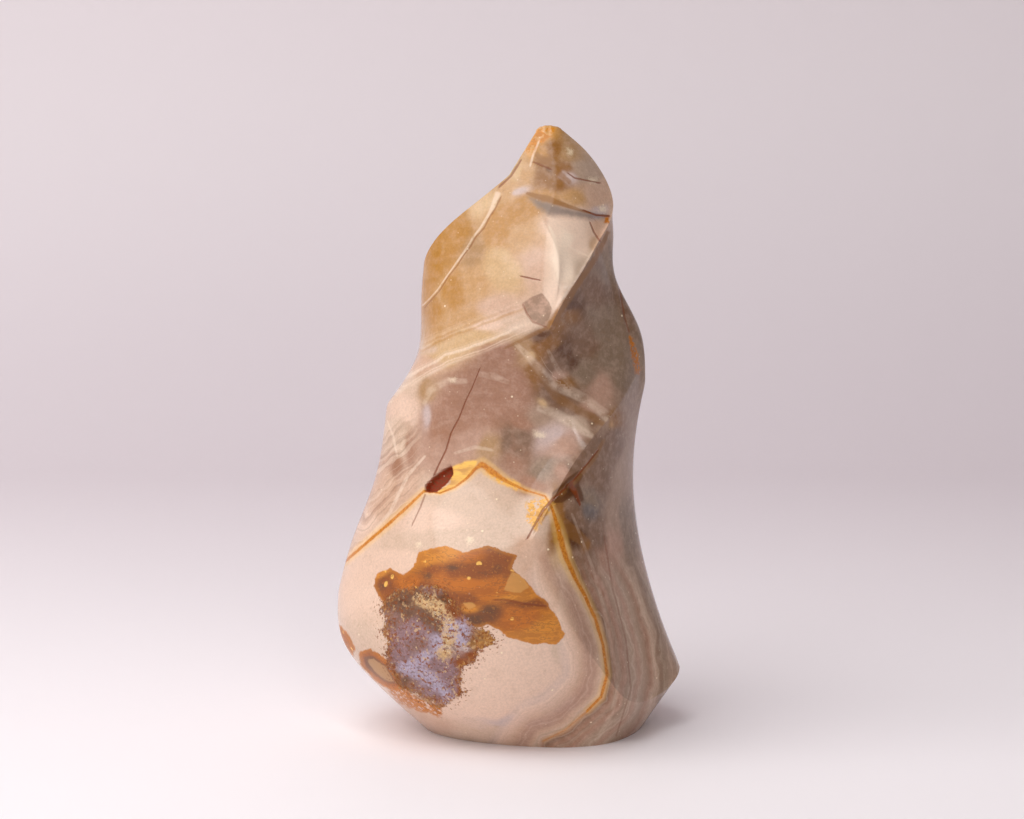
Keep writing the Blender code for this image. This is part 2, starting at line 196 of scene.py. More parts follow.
# Drawn lines: how strong, then points with their half width.
DRAWN_LINES = {
    "cracks": [    # thin dark cracks
        (0.5, [(501, 197, 0.7), (495, 209, 0.7), (489, 218, 0.8), (484, 228, 0.6), (475, 238, 0.7),
         (471, 246, 0.6), (463, 256, 0.6), (457, 266, 0.5), (448, 277, 0.5), (440, 290, 0.5),
         (432, 299, 0.5), (425, 307, 0.5)]),
        (0.9, [(480, 368, 0.4), (472, 388, 0.5), (466, 400, 0.6), (459, 418, 0.6), (451, 433, 0.7),
         (446, 450, 0.7), (441, 460, 0.7), (434, 475, 0.9)]),
        (0.6, [(425, 495, 0.9), (420, 508, 0.8), (412, 525, 0.6)]),
        (0.9, [(598, 450, 0.8), (582, 470, 1.0), (570, 484, 1.2), (553, 499, 1.2), (543, 510, 1.4),
         (527, 539, 0.8)]),
        (0.9, [(521, 276, 0.8), (534, 279, 0.9), (540, 280, 0.7)]),
        (0.55, [(523, 305, 0.8), (527, 314, 1.0), (533, 322, 1.0), (546, 327, 0.8)]),
        (0.8, [(521, 160, 0.9), (511, 176, 1.0), (499, 187, 0.9)]),
        (0.7, [(534, 162, 0.8), (551, 169, 0.7)]),
        (0.8, [(568, 173, 0.7), (575, 178, 0.9), (600, 183, 0.8)]),
        (0.95, [(583, 210, 0.9), (596, 215, 1.1), (609, 216, 1.1)]),
        (0.8, [(590, 222, 0.8), (594, 232, 1.0), (600, 241, 1.0)]),
        (0.6, [(619, 286, 0.8), (624, 315, 1.1), (629, 332, 0.8)]),
        (0.7, [(494, 600, 0.8), (508, 600, 1.0), (525, 604, 1.0), (546, 606, 0.9)]),
    ],
    "fissures": [    # the short open crack by the pit
        (1.0, [(571, 482, 1.6), (575, 492, 2.4), (580, 505, 1.0)]),
    ],
    "gold_lines": [    # the main vein
        (1.0, [(341, 565, 1.3), (365, 544, 1.5), (385, 527, 1.5), (405, 509, 1.5), (424, 491, 1.2),
         (440, 493, 0.8), (455, 487, 1.1), (467, 478, 1.3), (475, 469, 1.6), (482, 464, 2.6),
         (488, 469, 3.0), (498, 476, 2.4), (508, 482, 1.6), (525, 490, 1.1), (545, 496, 0.9),
         (552, 508, 1.2), (557, 525, 2.2), (561, 540, 2.8), (566, 558, 2.4), (576, 580, 1.9),
         (583, 592, 1.7), (595, 618, 1.6), (603, 645, 1.5), (607, 675, 1.5), (601, 697, 1.4),
         (586, 712, 1.1)]),
        (0.4, [(586, 712, 1.0), (565, 730, 0.9), (543, 741, 0.8)]),
    ],
    "pale_lines": [    # cream bands; the first line and the one below the tip are painted highlights on ridges
        # painted highlight: a bright streak along the upper ridge, added to the strip light's own reflection
        (0.95, [(549, 226, 1.0), (554, 236, 1.8), (556, 248, 2.4), (557, 262, 2.6), (559, 276, 2.4),
         (560, 288, 1.0)]),
        (0.6, [(498, 193, 3.0), (492, 208, 2.0), (487, 217, 1.4), (481, 227, 1.2), (473, 237, 0.9),
         (468, 246, 0.9), (461, 256, 1.1), (454, 266, 0.8), (446, 277, 0.7), (438, 289, 0.7),
         (430, 298, 0.7), (423, 305, 0.7)]),
        (0.42, [(516, 344, 2.0), (528, 356, 3.4), (540, 370, 4.4), (554, 386, 4.0), (572, 394, 3.4),
         (588, 402, 3.6), (600, 411, 3.6), (607, 420, 2.4)]),
        (0.25, [(548, 350, 1.6), (558, 370, 2.4), (572, 388, 2.2), (592, 401, 2.6), (607, 412, 2.0)]),
        (0.38, [(538, 408, 3.0), (552, 412, 4.4), (568, 420, 5.0), (582, 430, 4.0), (592, 436, 2.4)]),
        (0.3, [(424, 404, 2.0), (430, 390, 3.2), (448, 381, 3.4), (466, 381, 2.4)]),
        (0.28, [(480, 374, 2.4), (494, 376, 3.4), (508, 382, 2.0)]),
        (0.3, [(455, 453, 1.4), (475, 447, 2.0), (492, 450, 1.4)]),
        # painted highlight on the ridge below the tip
        (0.6, [(539, 141, 0.9), (533, 155, 1.2), (530, 166, 1.0)]),
        (0.5, [(563, 242, 0.8), (575, 250, 1.2), (588, 256, 0.8)]),
        (0.55, [(387, 420, 0.8), (393, 436, 1.2), (397, 456, 0.9)]),
        (0.5, [(425, 456, 1.2), (408, 475, 1.6), (390, 512, 1.6), (368, 538, 1.4), (352, 556, 1.0)]),
        (0.22, [(572, 514, 1.2), (592, 566, 1.4), (603, 604, 1.8), (611, 645, 2.0), (618, 690, 2.2),
         (611, 715, 2.2), (596, 741, 2.0)]),
    ],
    "rusty_lines": [    # a thin rust line right of the vein
        (0.35, [(604, 536, 0.8), (612, 585, 0.9), (626, 640, 0.9), (631, 690, 0.9), (616, 736, 0.8)]),
    ],
    "brown_lines": [    # brown bands
        (0.8, [(608, 232, 2.0), (598, 254, 2.6), (586, 272, 2.8), (573, 291, 3.0), (560, 311, 3.6),
         (552, 324, 3.6)]),
        (0.5, [(546, 328, 1.6), (534, 334, 2.2), (520, 341, 1.6), (505, 348, 1.0)]),
        (0.45, [(533, 366, 3.0), (546, 384, 4.0), (556, 396, 4.4), (574, 408, 4.4), (592, 417, 4.0),
         (603, 424, 2.4)]),
        (0.8, [(527, 193, 1.2), (537, 196, 2.6), (548, 199, 3.4), (560, 203, 2.8), (574, 208, 1.6),
         (590, 213, 1.2)]),
        (0.6, [(536, 154, 2.4), (548, 163, 3.4), (558, 172, 3.0), (570, 182, 2.0)]),
        (0.55, [(556, 494, 2.0), (550, 506, 2.4), (542, 518, 2.0), (534, 532, 1.4)]),
        (0.5, [(604, 440, 1.6), (594, 458, 2.4), (584, 470, 2.8), (572, 484, 3.0), (560, 494, 3.0)]),
    ],
}

# Soft spots of colour on the body: centre and reach of each in the photograph's frame.
BODY_TONES = {
    # the cream spots in the pale face beside the upper ridge are partly painted sheen
    "cream": [(572, 238, 8, 10), (562, 606, 4, 22), (566, 268, 8, 12)],
    "mauve": [(520, 422, 8, 5), (392, 470, 6, 10), (406, 447, 7, 12), (560, 475, 10, 6), (500, 357, 14, 8),
     (478, 398, 18, 16), (448, 424, 16, 18), (512, 396, 12, 14), (514, 456, 8, 12), (528, 486, 12, 7),
     (604, 560, 8, 20)],
    "honey": [(490, 214, 8, 6), (541, 147, 6, 7), (431, 308, 6, 16), (538, 206, 12, 7), (448, 236, 14, 12),
     (431, 272, 10, 20), (512, 214, 14, 10), (500, 234, 12, 12), (450, 292, 10, 14)],
    "umber": [(556, 500, 5, 8), (562, 515, 4, 10), (557, 534, 4, 14), (586, 546, 4, 6), (532, 352, 8, 5),
     (562, 382, 8, 5), (541, 170, 6, 8), (602, 248, 4, 12), (570, 318, 8, 8), (556, 330, 6, 6),
     (552, 147, 9, 9), (541, 163, 7, 9), (560, 170, 8, 8), (556, 184, 10, 7), (552, 344, 10, 8),
     (536, 372, 7, 12), (614, 424, 4, 6)],
    "bark": [(568, 490, 5, 5), (568, 522, 4, 7), (574, 538, 4, 10), (543, 338, 9, 6), (560, 348, 9, 8),
     (572, 364, 6, 6), (543, 168, 6, 6), (572, 308, 12, 14), (574, 530, 7, 9)],
    "taupe": [(579, 514, 8, 12), (594, 530, 7, 20), (592, 562, 6, 12), (576, 560, 4, 10), (603, 262, 6, 10),
     (515, 452, 8, 10), (588, 560, 5, 14), (612, 640, 4, 30), (566, 412, 8, 5), (590, 424, 6, 6),
     (592, 290, 14, 16), (626, 300, 6, 22), (584, 342, 14, 12), (562, 396, 16, 8), (548, 378, 6, 12),
     (504, 440, 5, 9), (520, 438, 7, 7), (592, 448, 8, 9), (574, 470, 8, 8), (612, 446, 6, 14),
     (600, 474, 8, 10), (575, 512, 8, 10)],
    "mist": [(560, 174, 4, 8), (560, 706, 18, 10), (522, 722, 26, 6), (600, 213, 5, 6), (427, 416, 4, 9),
     (566, 179, 5, 6), (521, 190, 6, 4), (557, 438, 12, 9)],
    "sand": [(612, 427, 3, 4), (575, 197, 9, 6), (524, 171, 7, 10), (512, 190, 9, 9), (437, 290, 7, 12),
     (474, 284, 12, 14), (520, 240, 14, 10), (442, 322, 14, 14), (470, 318, 16, 9)],
    "slate": [(588, 505, 8, 12)],
    "clay": [(610, 545, 8, 20), (548, 588, 6, 14), (556, 378, 8, 5), (590, 404, 8, 5), (604, 386, 12, 12),
     (438, 452, 12, 10), (470, 440, 14, 10), (562, 443, 12, 12), (650, 672, 10, 24), (585, 690, 7, 14)],
    "oat": [(562, 640, 4, 20), (434, 344, 9, 4), (520, 320, 18, 9), (402, 384, 14, 8), (396, 440, 10, 14),
     (470, 500, 34, 12), (520, 514, 16, 10), (470, 534, 50, 5), (440, 547, 40, 5), (546, 506, 6, 7),
     (360, 636, 12, 18), (506, 736, 50, 8)],
    "wheat": [(528, 358, 6, 6), (517, 168, 5, 7), (543, 402, 4, 3), (482, 205, 12, 9), (498, 268, 12, 12),
     (448, 346, 18, 9), (476, 336, 14, 8), (566, 560, 6, 14)],
    "blush": [(486, 324, 14, 5), (573, 228, 14, 10), (585, 244, 10, 8), (557, 298, 9, 12), (402, 410, 8, 9),
     (366, 528, 10, 12), (436, 516, 18, 9), (400, 556, 24, 6), (358, 590, 16, 24), (540, 680, 26, 30),
     (506, 672, 22, 16), (498, 710, 28, 9)],
    "dove": [(618, 380, 10, 14), (606, 262, 10, 14), (606, 326, 16, 16), (612, 352, 16, 14),
     (582, 372, 12, 10), (544, 472, 12, 8), (626, 530, 6, 20), (588, 498, 7, 9)],
    "apricot": [(543, 130, 10, 8), (529, 146, 4, 7)],
    "drab": [(566, 150, 10, 9), (470, 254, 8, 16), (522, 350, 8, 10), (426, 390, 7, 9), (486, 447, 10, 7)],
    "ash": [(582, 168, 12, 10), (576, 426, 14, 5), (630, 640, 12, 40), (636, 712, 16, 14)],
    "rose": [(594, 192, 12, 10), (532, 262, 10, 12), (496, 306, 16, 9), (601, 228, 7, 10),
     (424, 358, 12, 8), (382, 486, 10, 16), (404, 494, 8, 14), (420, 728, 20, 8), (572, 720, 12, 14),
     (530, 556, 8, 10), (552, 600, 9, 16)],
    "putty": [(540, 416, 8, 6), (622, 480, 8, 16), (612, 516, 8, 16), (612, 620, 14, 40)],
}
# The same for the stain.
STAIN_TONES = {
    "bark": [(430, 576, 6, 4), (452, 569, 6, 3), (384, 586, 4, 3), (498, 566, 5, 3), (442, 596, 6, 4),
     (489, 614, 8, 5), (474, 618, 6, 4)],
    "rust": [(470, 572, 8, 4), (468, 598, 7, 4), (512, 602, 9, 3), (434, 572, 10, 6), (452, 573, 10, 5),
     (448, 597, 8, 5), (390, 586, 6, 5), (372, 664, 8, 8), (500, 562, 12, 8), (482, 570, 14, 5),
     (384, 582, 7, 6), (425, 585, 10, 4), (530, 603, 16, 3), (458, 600, 6, 5)],
    "amber": [(424, 560, 8, 6), (446, 553, 10, 5), (378, 574, 6, 5), (514, 598, 12, 4), (548, 628, 12, 9),
     (528, 636, 14, 5), (560, 636, 5, 8), (470, 606, 5, 3), (541, 132, 14, 14)],
    "ochre": [(470, 556, 10, 4), (438, 576, 12, 7), (408, 584, 12, 5), (462, 585, 12, 7), (492, 588, 12, 8),
     (520, 618, 14, 8), (345, 640, 12, 14), (415, 703, 26, 8), (607, 220, 10, 10), (634, 350, 12, 20),
     (380, 668, 16, 14)],
    "gold": [(540, 510, 20, 16)],
}
# The same for the druse.
DRUSE_TONES = {
    "cocoa": [(395, 600, 8, 8), (410, 592, 10, 6), (405, 612, 10, 6), (424, 618, 8, 6), (438, 628, 5, 5),
     (407, 683, 5, 4)],
    "grit": [(420, 600, 5, 4), (434, 606, 5, 5), (446, 641, 4, 5), (443, 655, 4, 4)],
    "dusk": [(432, 590, 8, 5), (393, 622, 8, 8), (418, 648, 10, 7), (411, 684, 6, 5)],
    "rust": [(453, 612, 5, 7), (468, 653, 6, 5), (462, 664, 6, 3), (462, 690, 3, 10), (386, 646, 3, 10)],
    "violet": [(400, 634, 10, 8), (412, 626, 8, 8), (398, 652, 8, 8), (432, 665, 10, 6), (448, 673, 8, 8),
     (453, 684, 5, 6), (424, 691, 7, 4), (437, 699, 6, 4)],
    "lavender": [(449, 630, 8, 6), (460, 638, 7, 6), (437, 644, 6, 6), (403, 668, 8, 4), (418, 676, 10, 5),
     (432, 686, 10, 6), (444, 696, 6, 5), (424, 658, 8, 10)],
    "honey": [(483, 640, 8, 6), (439, 707, 6, 2)],
    "umber": [(470, 642, 5, 6), (394, 680, 5, 7), (404, 690, 6, 3), (415, 695, 6, 2)],
    "sand": [(427, 702, 7, 2)],
    "mist": [(465, 650, 5, 4)],
    "bark": [(400, 600, 6, 4), (444, 597, 6, 4), (428, 598, 5, 3)],
}
# Colours beside the main vein on the right flank: distance outside it, then the tone.
FLANK_STRATA = [(-44, "mist"), (-34, "blush"), (-24, "rose"), (-17, "clay"), (-11, "clay"), (-7, "rose"),
                (-3, "oat"), (3, "mauve"), (6, "taupe"), (10, "mauve"), (14, "putty"), (17, "mauve"),
                (20, "clay"), (23, "putty"), (28, "ash"), (33, "clay"), (37, "ash"), (41, "putty"),
                (45, "mauve"), (49, "oat"), (53, "putty"), (59, "dove"), (64, "ash"), (69, "putty"),
                (76, "ash"), (81, "dove"), (86, "ash"), (92, "putty")]

WINDOW = 6.0              # frame pixels kept round a drawn line
STEP_LIMIT = 20.0         # most half widths that a point is counted away from a line
LINE_TAPER = 2.5          # frame pixels in which a line runs out past its ends
FIELD_LIMIT = 40          # most frame pixels that a point is counted inside or outside a patch
HIDDEN_DROP = 90          # what keeps a patch off the side that faces away
TONE_CORE, TONE_FALL = 0.28, 2.7    # how flat a soft spot is in its middle, and how fast it gives way
SWELL, RIPPLE = 13, 3.5   # sizes in millimetres of the noise that makes tones drift
NEAR_DRIFT = 2.5          # frame pixels of drift in the stain and the druse
BACK_LEAN = 1.2           # how fast bands run on towards the back, for each millimetre

# Streaks over the middle ridge: full above it, fading and gone, then fading and gone to the right.
STREAKS_ABOVE = (5, 22, 44)
STREAKS_ACROSS = (500, 545)
BANDS_LEFT, BANDS_FLUTE, BANDS_BEHIND, BANDS_LEAST = 0.7, 0.06, 0.7, 0.05

# What lies below the polished skin, in millimetres; the bed's margin, edge and slope in frame pixels.
CHIP_PLACE, CHIP_REACH, CHIP_DEPTH = (571, 488), 7.0, 0.7
TIP_ROUGH_ABOVE, TIP_ROUGH_FULL, TIP_ROUGH, TIP_LUMP = 118.2, 119.2, 0.25, 0.9
PIT_EDGE = (-0.6, 2.6)    # frame pixels inside the pit's outline
BED_MARGIN, BED_RAGGED, BED_SLOPE = 6, 3, 9
BED_LUMP, BED_GRAIN, BED_ROUGH = 1.6, 0.6, 0.12

SHARP_OVER = radians(30)
THINNED_BEYOND = -0.25    # facing below which the skin may be thinned

# Finishes.
STAIN_ROUGHNESS, DRUSE_ROUGHNESS, PIT_ROUGHNESS = 0.36, 0.55, 0.7
JASPER_IOR, CRYSTAL_IOR = 1.42, 1.54
BAND_WANDER = 18.0        # frame pixels that broad noise moves the bands
DUST_SHADE = 0.55
CRYSTAL_TURNS = ((0, 0, 0), (pi, pi, pi))
CRYSTAL_SHAPES = ((0.35, 0.35, 0.5), (0.8, 0.8, 1.2))    # of the crystal size, along each axis
SPECKS = ((900, 0.16, 0.82, 0.4), (360, 0.1, 0.72, 0.8))    # scale, size, rarity and strength

# Each light: its place, what it faces, its width and height in metres, and the setting of its power.
LIGHTS = {
    "key_light": ((-0.34, -0.24, 0.69), (-0.15, -0.17, 0), 0.75, 0.75, "key_power"),
    "side_light": ((-0.75, -0.30, 0.28), (0, 0, 0.05), 0.6, 0.5, "side_power"),
    "front_light": ((-0.15, -1.08, 0.50), (0, 0, 0.06), 1.8, 0.9, "front_power"),
    "strip_light": ((0.18, -0.50, 0.62), (0, 0, 0.09), 0.05, 0.22, "strip_power"),
}
LIGHT_COLOUR = (1.0, 0.985, 0.975)
BEND_STEPS = 24
SENSOR_WIDE = 36.0        # millimetres


def paint(red, green, blue):
    """A colour as shown on a screen, from 0 to 255, turned into light."""
    shares = [c / 255 for c in (red, green, blue)]
    return tuple(((s + 0.055) / 1.055) ** 2.4 if s > 0.04 else s / 12.92 for s in shares)


# The stone's cage and skin.

def index(row, column):
    return row * len(FOOT) + column


def turn_end(row):
    """The front point that the back of a row runs into, further up the left side."""
    top = len(ROWS) - 1
    if row + LIFT <= top:
        return index(row + LIFT, 0)
    return index(top, row + LIFT - top)


def row_loop(row):
    behind = [index(row, column) for column in range(FRONT, len(FOOT))]
    return [index(row, FRONT - 1)] + behind + [turn_end(row)]


def heel_back_faces():
    right, one, two, three = [index(0, column) for column in range(FRONT - 1, FRONT + 3)]
    up_right, up_one, up_two, up_three, up_left = row_loop(1)
    mid_two, mid_low, mid_high = [len(ROWS) * len(FOOT) + k for k in range(3)]
    left = [index(row, 0) for row in range(4)]
    return [(right, one, up_one, up_right),
            (one, two, mid_two), (one, mid_two, up_two, up_one),
            (two, three, mid_low, mid_two), (mid_two, mid_low, mid_high),
            (mid_two, mid_high, up_three, up_two),
            (three, left[0], left[1], mid_low), (mid_low, left[1], left[2]),
            (mid_low, left[2], left[3], mid_high), (mid_high, left[3], up_left, up_three)]


def cage_faces():
    faces = []
    for row in range(len(ROWS) - 1):
        for column in range(FRONT - 1):
            faces.append((index(row, column), index(row, column + 1),
                          index(row + 1, column + 1), index(row + 1, column)))
    for row in range(1, len(ROWS) - 1):
        lower, upper = row_loop(row), row_loop(row + 1)
        for k in range(len(lower) - 1):
            faces.append((lower[k], lower[k + 1], upper[k + 1], upper[k]))
    faces += heel_back_faces()
    faces.append(tuple(reversed([index(0, column) for column in range(len(FOOT))])))
    faces.append(tuple(index(len(ROWS) - 1, column) for column in (4, 5, 6, 7, 8, 9, 10, 3)))
    return faces


def keel_edges():
    """Creased edges of the cage and how keen each one is."""
    keels = {}

    def run(points, keenness):
        for a, b in zip(points, points[1:]):
            keels[frozenset((a, b))] = keenness

    foot = [index(0, column) for column in range(len(FOOT))]
    run(foot + [foot[0]], CRISP)
    run([index(1, c) for c in range(BEND, FRONT)], CRISP)
    run(row_loop(1), KEEN)
    run([index(4, c) for c in range(0, BEND + 1)], SOFT)
    run([index(4, c) for c in range(BEND, FRONT)], CRISP)
    run(row_loop(4), KEEN)
    run([index(7, c) for c in range(0, BEND + 1)], KEEN)
    run([index(7, c) for c in range(BEND, FRONT)], CRISP)
    run(row_loop(7)[1:], SOFT)
    run([index(10, c) for c in range(0, BEND + 1)], CRISP)
    run([index(r, BEND) for r in (0, 1)], SOFT)
    run([index(r, BEND) for r in (1, 2, 3)], KEEN)
    run([index(3, BEND), index(4, BEND)], SOFT)
    run([index(7, BEND), index(8, BEND)], SOFT)
    run([index(r, BEND) for r in (8, 9, 10)], KEEN)
    run([index(r, FRONT - 1) for r in (4, 5, 6, 7)], KEEN)
    run([index(r, FRONT - 1) for r in (7, 8, 9, 10)], CRISP)
    run([index(10, c) for c in (4, 5, 6, 7, 8, 9, 10, 3)], CRISP)
    run([index(10, 3), index(10, 4)], CRISP)
    return keels


def cage_object(points):
    mesh = bpy.data.meshes.new("stone_cage")
    mesh.from_pydata(points, [], cage_faces())
    mesh.update()
    keels = keel_edges()
    crease = mesh.attributes.new("crease_edge", "FLOAT", "EDGE")
    for edge in mesh.edges:
        crease.data[edge.index].value = keels.get(frozenset(edge.vertices), 0.0)
    return show(bpy.data.objects.new("stone_cage", mesh))


def show(thing):
    bpy.context.scene.collection.objects.link(thing)
    return thing


def skin_of(thing, name):
    """The evaluated surface of an object, as a new mesh of its own."""
    graph = bpy.context.evaluated_depsgraph_get()
    graph.update()
    mesh = bpy.data.meshes.new_from_object(thing.evaluated_get(graph), depsgraph=graph)
    mesh.name = name
    return mesh


def stone_skin(detail):
    """The smoothed skin of the cage, in the cage's own place."""
    points = [Vector(p) * MM for row in ROWS for p in row] + [Vector(p) * MM for p in HEEL_BACK]
    cage = cage_object(points)
    smooth = cage.modifiers.new("smoothing", "SUBSURF")
    smooth.levels = smooth.render_levels = 1
    smooth.use_limit_surface = smooth.use_creases = True
    for _ in range(FIT_ROUNDS):
        trial = skin_of(cage, "trial")
        misses = [target - trial.vertices[k].co for k, target in enumerate(points)]
        bpy.data.meshes.remove(trial)
        for k, miss in enumerate(misses):
            cage.data.vertices[k].co += miss * FIT_PULL
        cage.data.update()
    smooth.levels = smooth.render_levels = detail
    skin = skin_of(cage, "jasper_stone")
    bpy.data.objects.remove(cage, do_unlink=True)
    return skin


def thin_behind(stone, limit):
    """Thin the side that faces away until the whole stone has at most so many triangles."""
    places, normals = point_array(stone.data, "co"), point_array(stone.data, "normal")
    kept = set(np.nonzero(facing_view(places / MM, normals) > THINNED_BEYOND)[0].tolist())
    creases = stone.data.attributes["crease_edge"].data
    for edge in stone.data.edges:
        if creases[edge.index].value > 0:
            kept.update(edge.vertices)
    group = stone.vertex_groups.new(name="kept")
    group.add(sorted(kept), 1.0, "REPLACE")
    thin = stone.modifiers.new("thinning", "DECIMATE")
    thin.vertex_group = group.name
    thin.invert_vertex_group = True
    thin.ratio = limit / (2 * len(stone.data.polygons))
    thinned = skin_of(stone, "jasper_stone")
    stone.modifiers.clear()
    stone.vertex_groups.clear()
    stone.data = thinned


def point_array(mesh, field):
    values = np.empty(len(mesh.vertices) * 3)
    mesh.vertices.foreach_get(field, values)
    return values.reshape(-1, 3)


# The photograph's frame.

def view_axes():
    forward = np.array([0.0, cos(VIEW_TILT), -sin(VIEW_TILT)])
    upward = np.array([0.0, sin(VIEW_TILT), cos(VIEW_TILT)])
    eye = np.array(VIEW_TARGET) - VIEW_DISTANCE * forward
    return eye, forward, upward


def frame_places(points):
    """Where points of the cage, in millimetres, come in the photograph's frame."""
    eye, forward, upward = view_axes()
    away = points - eye
    depth = away @ forward
    enlarge = VIEW_SCALE * VIEW_DISTANCE / depth
    across, up = enlarge * away[:, 0], enlarge * (away @ upward)
    return np.stack([FRAME_WIDE / 2 + across, FRAME_HIGH / 2 - up], axis=1)


def facing_view(points, normals):
    """How squarely each point of the skin faces the photograph's view, below zero where it faces away."""
    eye, _, _ = view_axes()
    toward = eye - points
    toward /= np.linalg.norm(toward, axis=1)[:, None]
    return np.einsum("ij,ij->i", toward, normals)


def soft_noise(points, size, seed):
    """Smooth noise from -1 to 1 at each point, in swells of about the given size."""
    shift = Vector((seed * 17.3, seed * 5.1, seed * 9.7))
    return np.array([mathutils_noise.noise(Vector(p) / size + shift) for p in points])


def ease(values, low, high):
    rise = np.clip((values - low) / (high - low), 0, 1)
    return rise * rise * (3 - 2 * rise)


def inside_outline(places, outline):
    """Signed distance to a closed outline, positive inside it."""
    ends = np.array(outline, dtype=float)
    starts = np.roll(ends, 1, axis=0)
    nearest = np.full(len(places), np.inf)
    inside = np.zeros(len(places), dtype=bool)
    for start, end in zip(starts, ends):
        run = end - start
        along = np.clip((places - start) @ run / (run @ run), 0, 1)
        gap = places - start - along[:, None] * run
        nearest = np.minimum(nearest, np.hypot(gap[:, 0], gap[:, 1]))
        spans = (start[1] > places[:, 1]) != (end[1] > places[:, 1])
        if run[1]:
            meets = start[0] + (places[:, 1] - start[1]) / run[1] * run[0]
            inside ^= spans & (places[:, 0] < meets)
    return np.where(inside, nearest, -nearest)


def any_outline(places, outlines):
    return np.max([inside_outline(places, outline) for outline in outlines], axis=0)


def drawn_lines(places, lines):
    """For each point, the side step from the nearest line in half widths, and how strongly it shows."""
    nearest = np.full(len(places), np.inf)
    step, show_line = np.full(len(places), STEP_LIMIT), np.zeros(len(places))
    for strength, points in lines:
        points = np.array(points, dtype=float)
        for k in range(len(points) - 1):
            start, end = points[k, :2], points[k + 1, :2]
            run = end - start
            length = np.hypot(*run)
            along = (places - start) @ run / length
            held = np.clip(along, 0, length)
            gap = places - start - (held / length)[:, None] * run
            reach = np.hypot(gap[:, 0], gap[:, 1])
            across = ((places - start) @ np.array([-run[1], run[0]])) / length
            half = points[k, 2] + (points[k + 1, 2] - points[k, 2]) * held / length
            past_end = np.zeros(len(places))
            if k == 0:
                past_end = np.maximum(past_end, -along)
            if k == len(points) - 2:
                past_end = np.maximum(past_end, along - length)
            closer = reach < nearest
            nearest[closer] = reach[closer]
            step[closer] = (np.sign(across) * reach / half)[closer]
            window = np.clip((WINDOW + half - reach) / 2, 0, 1)
            show_line[closer] = (strength * window * (1 - ease(past_end, 0, LINE_TAPER)))[closer]
    return np.clip(step, -STEP_LIMIT, STEP_LIMIT), show_line


def blended_tones(places, tones, settings):
    """Colours that run into each other between the named places."""
    total = np.zeros(len(places))
    mixed = np.zeros((len(places), 3))
    for name, spots in tones.items():
        for across, down, wide, tall in spots:
            away = ((places[:, 0] - across) / wide) ** 2 + ((places[:, 1] - down) / tall) ** 2
            weight = 1 / (TONE_CORE + away) ** TONE_FALL
            total += weight
            mixed += weight[:, None] * np.array(getattr(settings, name))
    return mixed / total[:, None]


def sink_skin(points, normals, places, facing, settings):
    """How far each point of the polished skin moves in (positive) or out, in millimetres."""
    front = ease(facing, 0.0, 0.15)
    deep = np.zeros(len(points))
    druse = any_outline(places, PATCHES["druse"])
    near = np.nonzero((druse > -BED_MARGIN) & (facing > 0))[0]
    coarse, fine = soft_noise(points[near], BED_LUMP, 1), soft_noise(points[near], BED_GRAIN, 2)
    bed = ease(druse[near] + BED_RAGGED * coarse, 0, BED_SLOPE)
    deep[near] += settings.hollow_depth / MM * bed * (0.75 + 0.35 * coarse) + BED_ROUGH * bed * fine
    pit = any_outline(places, PATCHES["blood"])
    deep += settings.pit_depth / MM * ease(pit, *PIT_EDGE) * front
    chip_gap = np.hypot(places[:, 0] - CHIP_PLACE[0], places[:, 1] - CHIP_PLACE[1])
    deep += CHIP_DEPTH * ease(-chip_gap, -CHIP_REACH, -1) * front
    tip = np.nonzero(points[:, 2] > TIP_ROUGH_ABOVE)[0]
    broken = ease(points[tip, 2], TIP_ROUGH_ABOVE, TIP_ROUGH_FULL)
    deep[tip] += TIP_ROUGH * soft_noise(points[tip], TIP_LUMP, 3) * broken
    return deep


def store(mesh, name, kind, values):
    fields = {"FLOAT": "value", "FLOAT_VECTOR": "vector", "FLOAT_COLOR": "color"}
    data = mesh.attributes.new(name, kind, "POINT").data
    data.foreach_set(fields[kind], np.ascontiguousarray(values).ravel())


def stored_values(mesh, name):
    values = np.empty(len(mesh.vertices))
    mesh.attributes[name].data.foreach_get("value", values)
    return values


def mark_skin(mesh, points, places, facing, settings):
    """Write every marking on the skin's points, for the material to read."""
    front = ease(facing, -0.02, 0.12)
    for name, outlines in PATCHES.items():
        field = any_outline(places, outlines) - (1 - front) * HIDDEN_DROP
        store(mesh, name, "FLOAT", np.clip(field, -FIELD_LIMIT, FIELD_LIMIT))
    for name, lines in DRAWN_LINES.items():
        step, shown = drawn_lines(places, lines)
        store(mesh, name, "FLOAT_VECTOR", np.stack([step, shown * front, np.zeros(len(step))], axis=1))
    swell = np.stack([soft_noise(points, SWELL, 4), soft_noise(points, SWELL, 5)], axis=1)
    ripple = np.stack([soft_noise(points, RIPPLE, 6), soft_noise(points, RIPPLE, 7)], axis=1)
    drifted = places + (swell + 0.45 * ripple) * settings.tone_drift
    close = places + ripple * NEAR_DRIFT
    opaque_share = np.ones((len(points), 1))
    for name, spots, tones in (("body_tone", drifted, BODY_TONES), ("stain_tone", close, STAIN_TONES),
                               ("druse_tone", close, DRUSE_TONES)):
        store(mesh, name, "FLOAT_COLOR", np.hstack([blended_tones(spots, tones, settings), opaque_share]))
    lean = points[:, 1] * BACK_LEAN * ease(-facing, -0.4, 0.4)
    shell = lean - inside_outline(places, VEIN + VEIN_CLOSING)
    above = -inside_outline(places, MID_RIDGE + MID_RIDGE_CLOSING)
    near, far, farthest = STREAKS_ABOVE
    streaked = ease(above, -1, near) * (1 - ease(above, far, farthest))
    streaked *= 1 - ease(places[:, 0], *STREAKS_ACROSS)
    for name, values in (("shell", shell), ("rise", above + lean), ("streaked", streaked),
                         ("banding", banding_strength(places, shell, facing)),
                         ("flank", flank_share(places, shell, facing))):
        store(mesh, name, "FLOAT", values)


